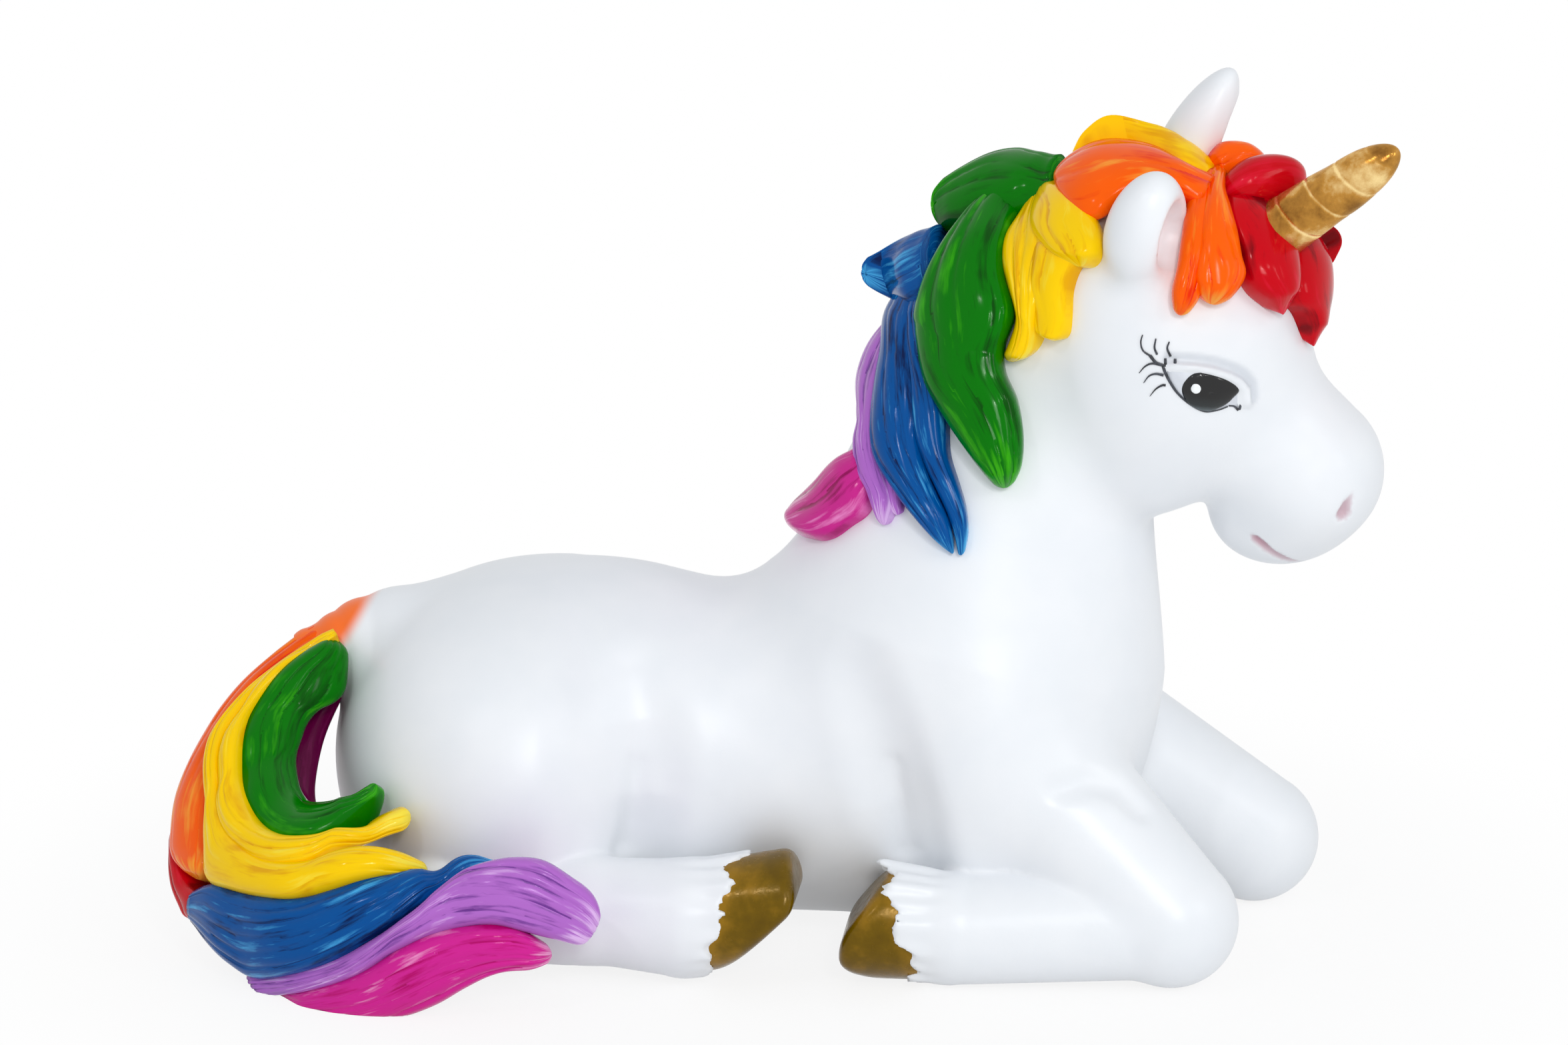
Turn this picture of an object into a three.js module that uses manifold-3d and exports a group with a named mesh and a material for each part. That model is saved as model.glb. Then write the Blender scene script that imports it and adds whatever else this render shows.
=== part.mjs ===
// Lying unicorn, a painted resin ornament that stands on the gravel of an aquarium.
// Millimetres. +X towards the nose, +Y to the animal's left, +Z up, floor at z = 0.
// The white masses are blended fields (ellipsoids and tapered limbs) that are skinned with rings.
// The hair is a set of lofted locks, laid on the white skin and cut back where they meet.
import * as THREE from "three";
import { mergeVertices } from "three/addons/utils/BufferGeometryUtils.js";
import Module from "manifold-3d";

// Driving dimensions

const GLUE_GAP = 0.3; // between neighbouring pieces
const BASE_CUT = 1.2; // the round underside of the body is cut flat this far up

const RUMP_X = -27;
const RUMP_LENGTH = 43;
const RUMP_WIDTH = 38;
const RUMP_HEIGHT = 40.7;
const THIGH_X = -29.5;
const THIGH_LENGTH = 30;
const THIGH_SPAN = 51; // across both thighs
const THIGH_THICKNESS = 30;
const THIGH_HEIGHT = 35.2;
const BARREL_REAR_X = -14;
const BARREL_FRONT_X = 16;
const BARREL_TOP_Z = 37.5;
const BARREL_HEIGHT = 38; // reaches just below the floor, so the belly is cut flat
const BARREL_WIDTH = 35;
const CHEST_X = 22.5;
const CHEST_LENGTH = 30.5;
const CHEST_WIDTH = 31;
const CHEST_TOP_Z = 49;
const CHEST_LOW_Z = 4;
const NECK_BASE_X = 19.2;
const NECK_BASE_Z = 35;
const NECK_BASE_DEPTH = 40;
const NECK_TOP_X = 27;
const NECK_TOP_Z = 66;
const NECK_TOP_DEPTH = 26;
const NECK_WIDTH = 24;
const TORSO_BLEND = 10;
const UPPER_ARM_LENGTH = 27;
const UPPER_ARM_SPAN = 43.2; // across both upper arms
const UPPER_ARM_THICKNESS = 26;
const UPPER_ARM_HEIGHT = 38;
const UPPER_ARM_SETBACK = 0.5; // behind the chest's centre
const CREASE_BLEND = 1.6; // where thighs and upper arms meet the torso
const HOLLOW_WIDTH = 8; // of the flank's hollows beside the thigh and the upper arm
const HOLLOW_TOP_WIDTH = 6.1;
const HOLLOW_TOP_DROP = 4; // below the back
const HOLLOW_LOW_Z = 13.1;
const HOLLOW_BLEND = 3;
const HAUNCH_HOLLOW_AHEAD = 1.2; // of the barrel's rear end
const SHOULDER_HOLLOW_BEHIND = 7; // the barrel's front end

const HEAD_X = 36;
const HEAD_Y = -2;
const HEAD_Z = 64;
const HEAD_YAW = 15; // degrees, nose to the animal's right
const HEAD_ROLL = 15; // degrees, crown to the animal's right
const SKULL_LENGTH = 29;
const SKULL_WIDTH = 26;
const SKULL_HEIGHT = 29;
const CHEEK_LENGTH = 22;
const CHEEK_HEIGHT = 23;
const CHEEK_SPAN = 27;
const FACE_WIDTH = 22;
const MUZZLE_X = 19.4; // ahead of the head's centre
const MUZZLE_DROP = 11.6; // below the head's centre
const MUZZLE_LENGTH = 15.4;
const MUZZLE_WIDTH = 16.6;
const MUZZLE_HEIGHT = 15.2;
const CHIN_X = 15.2;
const CHIN_DROP = 17;
const CHIN_LENGTH = 12;
const CHIN_WIDTH = 11;
const CHIN_HEIGHT = 9;
const HEAD_BLEND = 5;

const EYE_LENGTH = 9.4;
const EYE_HEIGHT = 5.4;
const EYE_THICKNESS = 4;
const EYE_BULGE = 0.55; // how far the eye stands out of the cheek
const EAR_LENGTH_RIGHT = 10.2;
const EAR_LENGTH_LEFT = 15.4;
const EAR_WIDTH = 9.6;
const EAR_THICKNESS = 8.4;
const EAR_HOLLOW = 1.7;
const HORN_LENGTH = 18.6;
const HORN_BASE_DIAMETER = 6.6;
const HORN_TIP_DIAMETER = 3.8;
const HORN_TURNS = 4.5;
const HORN_GROOVE = 0.28;
const SOCKET_DEPTH = 2.3; // how deep the horn and the ears start under the skin

const SHOULDER_DIAMETER = 20;
const SHOULDER_Z = 24;
const KNEE_DIAMETER = 14.4;
const KNEE_FORWARD_RIGHT = 20; // ahead of the chest's centre
const KNEE_FORWARD_LEFT = 28;
const CANNON_DIAMETER = 12;
const CANNON_LENGTH = 24;
const HOCK_DIAMETER = 14;
const HIND_CANNON_LENGTH = 28;
const HOOF_LENGTH = 8.5;
const HOOF_WIDTH = 11.5;
const HOOF_HEIGHT = 12.5;

const HAIR_FULLNESS = 1; // scales the width and the thickness of every lock
const STRANDS = 5;
const STRAND_DEPTH = 0.09; // grooves between strands, as a share of half a lock's thickness

// Points and directions are plain [x, y, z]

const add = (a, b, k = 1) => [a[0] + k * b[0], a[1] + k * b[1], a[2] + k * b[2]];
const subtract = (a, b) => add(a, b, -1);
const scale = (a, k) => [a[0] * k, a[1] * k, a[2] * k];
const dot = (a, b) => a[0] * b[0] + a[1] * b[1] + a[2] * b[2];
const cross = (a, b) => [
  a[1] * b[2] - a[2] * b[1],
  a[2] * b[0] - a[0] * b[2],
  a[0] * b[1] - a[1] * b[0],
];
const unit = (a) => scale(a, 1 / Math.hypot(...a));
const mix = (a, b, t) => a + (b - a) * t;
const smooth = (t) => THREE.MathUtils.smoothstep(t, 0, 1);
const radians = THREE.MathUtils.degToRad;
const turned = (matrix, p) => new THREE.Vector3(...p).applyMatrix4(matrix).toArray();
const steps = (count, make) => Array.from({ length: count }, (_, i) => make(i));

const SIDES = ["right", "left"];
const forSide = (side, [x, y, z]) => (side === "left" ? [x, -y, z] : [x, y, z]);
const pair = (make) => Object.fromEntries(SIDES.map((side) => [side, make(side)]));

// Fields: negative inside, about the distance in millimetres near the surface

function ellipsoid(centre, radii) {
  return (p) => {
    const q = subtract(p, centre).map((v, i) => v / radii[i]);
    const k0 = Math.hypot(...q);
    const k1 = Math.hypot(...q.map((v, i) => v / radii[i]));
    return k1 < 1e-9 ? -Math.min(...radii) : (k0 * (k0 - 1)) / k1;
  };
}

function limb(from, to, fromRadius, toRadius, sideScale = 1) {
  const way = subtract(to, from);
  return (p) => {
    const d = subtract(p, from);
    const t = THREE.MathUtils.clamp(dot(d, way) / dot(way, way), 0, 1);
    const off = subtract(d, scale(way, t));
    return Math.hypot(off[0], off[1] / sideScale, off[2]) - mix(fromRadius, toRadius, t);
  };
}

function blend(radius, ...fields) {
  return (p) =>
    fields
      .map((field) => field(p))
      .reduce((a, b) => {
        const h = Math.max(radius - Math.abs(a - b), 0) / radius;
        return Math.min(a, b) - (h * h * radius) / 4;
      });
}

function common(radius, ...fields) {
  const inverse = blend(radius, ...fields.map((field) => (p) => -field(p)));
  return (p) => -inverse(p);
}

const bothSides = (field) => (p) => field([p[0], -Math.abs(p[1]), p[2]]);
const grown = (field, by) => (p) => field(p) - by;

function gradient(field, p) {
  const STEP = 0.05;
  return [0, 1, 2].map((axis) => {
    const ahead = [...p];
    const behind = [...p];
    ahead[axis] += STEP;
    behind[axis] -= STEP;
    return (field(ahead) - field(behind)) / (2 * STEP);
  });
}

const outward = (field, p) => unit(gradient(field, p));

// The point of the surface near p, raised by lift along the outward direction.
function onSurface(field, p, lift = 0) {
  let at = [...p];
  for (let i = 0; i < 12; i++) {
    const slope = gradient(field, at);
    at = add(at, slope, -field(at) / Math.max(dot(slope, slope), 1e-6));
  }
  return add(at, outward(field, at), lift);
}

// How far the surface is from an inner point along a direction.
function reach(field, from, way) {
  let far = 1;
  while (field(add(from, way, far)) < 0 && far < 200) far += 1;
  let near = far - 1;
  for (let i = 0; i < 24; i++) {
    const middle = (near + far) / 2;
    if (field(add(from, way, middle)) < 0) near = middle;
    else far = middle;
  }
  return near;
}

// Rings, counter-clockwise seen from ahead, into a closed geometry with a pole at both ends

function closedRings(rings, firstPole, lastPole) {
  const sides = rings[0].length;
  const points = [firstPole, ...rings.flat(), lastPole];
  const last = points.length - 1;
  const end = last - sides;
  const faces = [];
  for (let j = 0; j < sides; j++) {
    const k = (j + 1) % sides;
    faces.push(0, 1 + k, 1 + j);
    for (let a = 1; a < end; a += sides) {
      const b = a + sides;
      faces.push(a + j, a + k, b + k, a + j, b + k, b + j);
    }
    faces.push(last, end + j, end + k);
  }
  const geometry = new THREE.BufferGeometry();
  geometry.setAttribute("position", new THREE.Float32BufferAttribute(points.flat(), 3));
  geometry.setIndex(faces);
  return geometry;
}

// A field skinned by rings: each station has an inner centre and the ring's side and up directions.
function skin(field, stations, sides, firstWay, lastWay) {
  const rings = stations.map(({ centre, side, up }) =>
    steps(sides, (j) => {
      const angle = (2 * Math.PI * j) / sides;
      const way = add(scale(side, Math.cos(angle)), up, Math.sin(angle));
      return add(centre, way, reach(field, centre, way));
    }),
  );
  const first = stations[0].centre;
  const last = stations[stations.length - 1].centre;
  return closedRings(
    rings,
    add(first, firstWay, reach(field, first, firstWay)),
    add(last, lastWay, reach(field, last, lastWay)),
  );
}

const END_INSET = 0.985; // the end rings stop just short of the poles

// A field skinned along a straight axis through an inner point, with rings closer at both ends.
function skinAlong(field, centre, axis, rings, sides) {
  const ahead = reach(field, centre, axis) * END_INSET;
  const behind = reach(field, centre, scale(axis, -1)) * END_INSET;
  const side = unit(cross([0, 0, 1], axis));
  const up = cross(axis, side);
  const stations = steps(rings, (i) => {
    const share = (1 - Math.cos((Math.PI * (i + 0.5)) / rings)) / 2;
    return { centre: add(centre, axis, mix(-behind, ahead, share)), side, up };
  });
  return skin(field, stations, sides, scale(axis, -1), axis);
}

// Solids

const wasm = await Module();
wasm.setup();

function solid(geometry) {
  const bare = geometry.clone();
  bare.deleteAttribute("normal");
  bare.deleteAttribute("uv");
  const merged = mergeVertices(bare, 1e-4);
  return new wasm.Manifold(
    new wasm.Mesh({
      numProp: 3,
      vertProperties: merged.attributes.position.array,
      triVerts: new Uint32Array(merged.index.array),
    }),
  );
}

// Cuts can leave loose flakes at a thin edge, so the piece is the largest body.
function cutBy(made, ...others) {
  const left = others.reduce((rest, other) => rest.subtract(other), made);
  return left.decompose().reduce((a, b) => (b.volume() > a.volume() ? b : a));
}

const ornament = new THREE.Group();
ornament.name = "unicorn_ornament";

function place(name, made, material) {
  const { vertProperties, triVerts } = made.getMesh();
  const geometry = new THREE.BufferGeometry();
  geometry.setAttribute("position", new THREE.BufferAttribute(vertProperties, 3));
  geometry.setIndex(new THREE.BufferAttribute(triVerts, 1));
  geometry.computeVertexNormals();
  const mesh = new THREE.Mesh(geometry, material.clone());
  mesh.name = name;
  ornament.add(mesh);
}

const paint = (color, roughness = 0.35, metalness = 0) =>
  new THREE.MeshStandardMaterial({ color, roughness, metalness });
const paints = {
  white: paint(0xeef0f4, 0.4),
  gold: paint(0xa87a2c, 0.35, 0.7),
  bronze: paint(0x6b5215, 0.35, 0.3),
  black: paint(0x0a0d10, 0.15),
  red: paint(0xc8102a),
  orange: paint(0xf4650f),
  yellow: paint(0xf2c200),
  green: paint(0x0c7d10),
  blue: paint(0x0f4f9c),
  purple: paint(0x7b3fa0),
  magenta: paint(0xb0157a),
  pink: paint(0xcf2f9a),
  maroon: paint(0x6e0a50),
};

const FLOOR_SIZE = 400;
const floor = solid(
  new THREE.BoxGeometry(FLOOR_SIZE, FLOOR_SIZE, FLOOR_SIZE).translate(0, 0, -FLOOR_SIZE / 2),
);

// Body: rump, barrel, chest and neck run into each other, thighs and upper arms keep a crease.
// The floor cuts the underside flat.

const BODY_AXIS_Z = BARREL_TOP_Z - BARREL_HEIGHT / 2;
const neckTop = [NECK_TOP_X, 0, NECK_TOP_Z];
const torsoField = blend(
  TORSO_BLEND,
  ellipsoid(
    [RUMP_X, 0, RUMP_HEIGHT / 2 - BASE_CUT],
    [RUMP_LENGTH / 2, RUMP_WIDTH / 2, RUMP_HEIGHT / 2],
  ),
  limb(
    [BARREL_REAR_X, 0, BODY_AXIS_Z],
    [BARREL_FRONT_X, 0, BODY_AXIS_Z],
    BARREL_HEIGHT / 2,
    BARREL_HEIGHT / 2,
    BARREL_WIDTH / BARREL_HEIGHT,
  ),
  ellipsoid(
    [CHEST_X, 0, (CHEST_TOP_Z + CHEST_LOW_Z) / 2],
    [CHEST_LENGTH / 2, CHEST_WIDTH / 2, (CHEST_TOP_Z - CHEST_LOW_Z) / 2],
  ),
  limb(
    [NECK_BASE_X, 0, NECK_BASE_Z],
    neckTop,
    NECK_BASE_DEPTH / 2,
    NECK_TOP_DEPTH / 2,
    NECK_WIDTH / NECK_TOP_DEPTH,
  ),
);
const thighField = ellipsoid(
  [THIGH_X, -(THIGH_SPAN - THIGH_THICKNESS) / 2, THIGH_HEIGHT / 2 - BASE_CUT],
  [THIGH_LENGTH / 2, THIGH_THICKNESS / 2, THIGH_HEIGHT / 2],
);
const upperArmField = ellipsoid(
  [CHEST_X - UPPER_ARM_SETBACK, -(UPPER_ARM_SPAN - UPPER_ARM_THICKNESS) / 2, SHOULDER_Z],
  [UPPER_ARM_LENGTH / 2, UPPER_ARM_THICKNESS / 2, UPPER_ARM_HEIGHT / 2],
);

// A hollow runs down the flank. How far out it lies is a share of the barrel's width.
const flankHollow = (x, topShare, lowShare) =>
  limb(
    [x, -BARREL_WIDTH * topShare, BARREL_TOP_Z - HOLLOW_TOP_DROP],
    [x, -BARREL_WIDTH * lowShare, HOLLOW_LOW_Z],
    HOLLOW_TOP_WIDTH / 2,
    HOLLOW_WIDTH / 2,
  );
const haunchHollow = flankHollow(BARREL_REAR_X + HAUNCH_HOLLOW_AHEAD, 0.545, 0.635);
const shoulderHollow = flankHollow(BARREL_FRONT_X - SHOULDER_HOLLOW_BEHIND, 0.585, 0.635);
const bodyField = common(
  HOLLOW_BLEND,
  blend(CREASE_BLEND, torsoField, bothSides(thighField), bothSides(upperArmField)),
  (p) => -bothSides(haunchHollow)(p),
  (p) => -bothSides(shoulderHollow)(p),
);

// Upright rings from the rump to the withers, a fan of rings round a line above the withers, and
// level rings up the neck.
function bodySkin(field) {
  const RING_SIDES = 24;
  const REAR_RINGS = 14;
  const FAN_RINGS = 9;
  const NECK_RINGS = 5;
  const side = [0, 1, 0];
  const pivot = [CHEST_X - 25, 0, CHEST_TOP_Z + 1];
  const rearEnd = RUMP_X - reach(field, [RUMP_X, 0, BODY_AXIS_Z], [-1, 0, 0]) * END_INSET;
  const rear = steps(REAR_RINGS, (i) => {
    const share = 1 - Math.cos((Math.PI / 2) * ((i + 0.5) / REAR_RINGS) ** 0.9);
    return { centre: [mix(rearEnd, pivot[0], share), 0, BODY_AXIS_Z], side, up: [0, 0, 1] };
  });
  const fan = steps(FAN_RINGS + 1, (i) => {
    const angle = ((Math.PI / 2) * i) / FAN_RINGS;
    const up = [-Math.sin(angle), 0, Math.cos(angle)];
    const low = pivot[2] - BODY_AXIS_Z;
    const away = mix(low, NECK_TOP_X - pivot[0], i / FAN_RINGS) + 3 * Math.sin(2 * angle);
    return { centre: add(pivot, up, -away), side, up };
  });
  const neckLow = [NECK_TOP_X, 0, pivot[2]];
  const neckEnd = reach(field, neckLow, [0, 0, 1]) * END_INSET;
  const neck = steps(NECK_RINGS, (i) => {
    const share = Math.sin(((Math.PI / 2) * (i + 1)) / (NECK_RINGS + 0.5));
    return { centre: add(neckLow, [0, 0, 1], neckEnd * share), side, up: [-1, 0, 0] };
  });
  return solid(skin(field, [...rear, ...fan, ...neck], RING_SIDES, [-1, 0, 0], [0, 0, 1]));
}

// Head, shaped upright about its own centre and then turned

const headTurn = new THREE.Matrix4()
  .makeTranslation(HEAD_X, HEAD_Y, HEAD_Z)
  .multiply(new THREE.Matrix4().makeRotationZ(radians(-HEAD_YAW)))
  .multiply(new THREE.Matrix4().makeRotationX(radians(HEAD_ROLL)));
const headUnturn = headTurn.clone().invert();
const fromHead = (p) => turned(headTurn, p);
const fromHeadWay = (way) => subtract(fromHead(way), fromHead([0, 0, 0]));

const CHEEK_THICKNESS = 15;
const cheekField = ellipsoid(
  [2.5, -(CHEEK_SPAN - CHEEK_THICKNESS) / 2, -3],
  [CHEEK_LENGTH / 2, CHEEK_THICKNESS / 2, CHEEK_HEIGHT / 2],
);
const uprightHead = blend(
  HEAD_BLEND,
  ellipsoid([4.5, 0, 6], [SKULL_LENGTH / 2, SKULL_WIDTH / 2, SKULL_HEIGHT / 2]),
  bothSides(cheekField),
  limb([9, 0, 0], [MUZZLE_X - 0.4, 0, 1.2 - MUZZLE_DROP], FACE_WIDTH / 2, MUZZLE_WIDTH / 2 - 1.8),
  ellipsoid([MUZZLE_X, 0, -MUZZLE_DROP], [MUZZLE_LENGTH / 2, MUZZLE_WIDTH / 2, MUZZLE_HEIGHT / 2]),
  ellipsoid([CHIN_X, 0, -CHIN_DROP], [CHIN_LENGTH / 2, CHIN_WIDTH / 2, CHIN_HEIGHT / 2]),
);
const headField = (p) => uprightHead(turned(headUnturn, p));
const headAxis = unit(fromHeadWay([0.857, 0, -0.515]));
const headSkin = (field) => solid(skinAlong(field, fromHead([9, 0, -1.5]), headAxis, 17, 20));
const skinField = blend(2, bodyField, headField);

// An eye is a lens let into the cheek, longer along the nose.
function eye(side, grow) {
  const seat = fromHead(forSide(side, [13, -13, 3.2]));
  const out = outward(headField, onSurface(headField, seat));
  const tilted = add(headAxis, fromHeadWay([0, 0, 1]), 0.14);
  const length = unit(subtract(tilted, scale(out, dot(tilted, out))));
  const centre = onSurface(headField, seat, EYE_BULGE - EYE_THICKNESS / 2);
  const axes = [length, cross(out, length), out].map((axis) => new THREE.Vector3(...axis));
  const lens = new THREE.SphereGeometry(1, 14, 8)
    .scale(EYE_LENGTH / 2 + grow, EYE_HEIGHT / 2 + grow, EYE_THICKNESS / 2 + grow)
    .applyMatrix4(new THREE.Matrix4().makeBasis(...axes).setPosition(...centre));
  return solid(lens);
}

// An ear is a cupped egg that leans forwards, its hollow turned to the front. The left one is drawn
// out to a fin.
const EARS = {
  right: { seat: [5, -9, 16.5], height: EAR_LENGTH_RIGHT, lean: 0.4, slimming: 0.1 },
  left: { seat: [3.2, 10.5, 13.5], height: EAR_LENGTH_LEFT, lean: 2.8, slimming: 0.34 },
};

function ear(side, grow) {
  const RINGS = 9;
  const RING_SIDES = 14;
  const WIDEST = 0.42;
  const { seat, height, lean, slimming } = EARS[side];
  const root = onSurface(headField, fromHead(seat), -SOCKET_DEPTH);
  const up = unit(fromHeadWay(forSide(side, [0.22, -0.08, 1])));
  const front = unit(fromHeadWay(forSide(side, [1, -0.2, 0])));
  const across = unit(cross(front, up));
  const out = cross(up, across);
  const length = height + SOCKET_DEPTH;
  const rings = steps(RINGS, (i) => {
    const t = i / (RINGS - 1);
    const slim = 1 + slimming * (0.35 - t);
    const leaf = Math.sqrt(1 - ((t - WIDEST) / 0.585) ** 2) * slim;
    const halfWidth = (EAR_WIDTH / 2) * leaf + grow;
    const halfDepth = (EAR_THICKNESS / 2) * leaf;
    const hollow = EAR_HOLLOW * leaf * smooth(t / 0.3) * smooth((1 - t) / 0.3);
    const centre = add(add(root, up, t * length), out, lean * t * t);
    return steps(RING_SIDES, (j) => {
      const angle = (2 * Math.PI * j) / RING_SIDES;
      const facing = Math.max(0, Math.sin(angle));
      const depth = halfDepth * Math.sin(angle) * (1 - 0.15 * facing) - hollow * facing ** 3;
      const edge = add(centre, across, halfWidth * Math.cos(angle));
      return add(edge, out, depth + grow * Math.sin(angle));
    });
  });
  const tip = add(add(root, up, length + 0.15 + grow), out, lean);
  return solid(closedRings(rings, add(root, up, -0.5 - grow), tip));
}

// The horn is a blunt cone with a shallow thread.
function horn(grow) {
  const RINGS = 19;
  const RING_SIDES = 12;
  const ROUNDING_START = 0.86;
  const root = onSurface(headField, fromHead([15, 0.5, 14.5]), -SOCKET_DEPTH);
  const up = unit(fromHeadWay([0.8, 0.05, 0.6]));
  const across = unit(cross([0, 0, 1], up));
  const out = cross(up, across);
  const length = HORN_LENGTH + SOCKET_DEPTH;
  const rings = steps(RINGS, (i) => {
    const t = i / (RINGS - 1);
    const late = Math.max(0, t - ROUNDING_START) / (1 - ROUNDING_START);
    const round = Math.sqrt(1 - 0.94 * late * late);
    const radius = mix(HORN_BASE_DIAMETER, HORN_TIP_DIAMETER, t) / 2;
    return steps(RING_SIDES, (j) => {
      const angle = (2 * Math.PI * j) / RING_SIDES;
      const crest = Math.sqrt(Math.abs(Math.sin(Math.PI * HORN_TURNS * t - angle / 2)));
      const r = (radius - HORN_GROOVE * (1 - crest)) * round + grow;
      const rim = add(scale(across, r * Math.cos(angle)), out, r * Math.sin(angle));
      return add(add(root, up, t * length), rim);
    });
  });
  return solid(closedRings(rings, add(root, up, -0.3 - grow), add(root, up, length + 0.15 + grow)));
}

// Legs: the forelegs are folded back at the knee, the hind feet lie forwards under the thighs

const KNEE_Z = KNEE_DIAMETER / 2;
const CANNON_Z = CANNON_DIAMETER / 2;
const shoulder = {
  right: [CHEST_X + 0.5, -CHEST_WIDTH * 0.33, SHOULDER_Z],
  left: [CHEST_X + 0.5, CHEST_WIDTH * 0.34, SHOULDER_Z],
};
const knee = {
  right: [CHEST_X + KNEE_FORWARD_RIGHT, -CHEST_WIDTH * 0.58, KNEE_Z],
  left: [CHEST_X + KNEE_FORWARD_LEFT, CHEST_WIDTH * 0.42, KNEE_Z],
};
const fetlock = {
  right: add(knee.right, [-CANNON_LENGTH, -2, CANNON_Z - KNEE_Z]),
  left: add(knee.left, [-CANNON_LENGTH, 2, CANNON_Z - KNEE_Z]),
};
const hock = pair((side) =>
  forSide(side, [THIGH_X - 4.5, -THIGH_SPAN * 0.415, HOCK_DIAMETER / 2]),
);
const hindFetlock = pair((side) =>
  add(hock[side], forSide(side, [HIND_CANNON_LENGTH, -1, CANNON_Z + 1 - HOCK_DIAMETER / 2])),
);

const forearmField = pair((side) =>
  limb(shoulder[side], knee[side], SHOULDER_DIAMETER / 2, KNEE_DIAMETER / 2),
);
const cannonField = pair((side) =>
  limb(knee[side], fetlock[side], KNEE_DIAMETER / 2 - 0.9, CANNON_DIAMETER / 2 - 0.2),
);
const hindField = pair((side) =>
  limb(hock[side], hindFetlock[side], HOCK_DIAMETER / 2, CANNON_DIAMETER / 2),
);

function limbSkin(field, from, to) {
  return solid(skinAlong(field, scale(add(from, to), 0.5), unit(subtract(to, from)), 9, 12));
}

// A hoof is a tapered drum between the hairline and a slanted sole. Its rings tilt with the sole.
function hoof(coronet, toeWay, soleWay, grow) {
  const RINGS = 8;
  const toe = add(coronet, toeWay, HOOF_LENGTH);
  const middle = add(coronet, toeWay, HOOF_LENGTH * 0.35);
  const stretch = HOOF_WIDTH / HOOF_HEIGHT;
  const shape = common(
    1.2,
    limb(coronet, toe, HOOF_HEIGHT * 0.47, HOOF_HEIGHT * 0.53, stretch),
    (p) => dot(subtract(coronet, p), toeWay),
    (p) => dot(subtract(p, toe), soleWay) + HOOF_LENGTH * 0.05,
  );
  const field = grown(shape, grow);
  const ahead = reach(field, middle, toeWay) * END_INSET;
  const behind = reach(field, middle, scale(toeWay, -1)) * END_INSET;
  const side = unit(cross([0, 0, 1], toeWay));
  const stations = steps(RINGS, (i) => {
    const share = (1 - Math.cos((Math.PI * (i + 0.5)) / RINGS)) / 2;
    const axis = unit(add(scale(toeWay, 1 - share), soleWay, share));
    return { centre: add(middle, toeWay, mix(-behind, ahead, share)), side, up: cross(axis, side) };
  });
  return solid(skin(field, stations, 12, scale(toeWay, -1), soleWay));
}

const foreToe = unit([-1, 0, 0.08]);
const foreSole = unit([-0.88, 0, 0.47]);
const hindToe = unit([1, 0, 0.12]);
const hindSole = unit([0.8, 0, -0.6]);
const foreHoof = (side, grow) => hoof(add(fetlock[side], foreToe, 3.6), foreToe, foreSole, grow);
const hindHoof = (side, grow) => hoof(add(hindFetlock[side], hindToe, 0.6), hindToe, hindSole, grow);

// White castings, hooves, eyes and horn

const bodyGrown = bodySkin(grown(bodyField, GLUE_GAP));
const headGrown = headSkin(grown(headField, GLUE_GAP));
const hairStops = [floor, bodyGrown, headGrown, horn(GLUE_GAP)];
const eyesGrown = SIDES.map((side) => eye(side, GLUE_GAP));

place("body", cutBy(bodySkin(bodyField), floor, headGrown), paints.white);
place("head", cutBy(headSkin(headField), ...eyesGrown), paints.white);
place("horn", cutBy(horn(0), headGrown), paints.gold);
for (const side of SIDES) {
  const forearm = (grow) => limbSkin(grown(forearmField[side], grow), shoulder[side], knee[side]);
  const cannon = limbSkin(cannonField[side], knee[side], fetlock[side]);
  const hind = (grow) => limbSkin(grown(hindField[side], grow), hock[side], hindFetlock[side]);
  const cannonStops = [floor, bodyGrown, forearm(GLUE_GAP), foreHoof(side, GLUE_GAP)];
  const hindStops = [floor, bodyGrown, hindHoof(side, GLUE_GAP)];
  place(`forearm_${side}`, cutBy(forearm(0), floor, bodyGrown), paints.white);
  place(`cannon_${side}`, cutBy(cannon, ...cannonStops), paints.white);
  place(`hind_leg_${side}`, cutBy(hind(0), ...hindStops), paints.white);
  place(`fore_hoof_${side}`, cutBy(foreHoof(side, 0), floor, bodyGrown), paints.bronze);
  place(`hind_hoof_${side}`, cutBy(hindHoof(side, 0), floor, bodyGrown), paints.bronze);
  place(`ear_${side}`, cutBy(ear(side, 0), headGrown), paints.white);
  place(`eye_${side}`, eye(side, 0), paints.black);
  hairStops.push(ear(side, GLUE_GAP), hind(GLUE_GAP));
}

// Hair: a lock is lofted along a route as a flat ellipse with strand ridges, tapering to its tip

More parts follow.
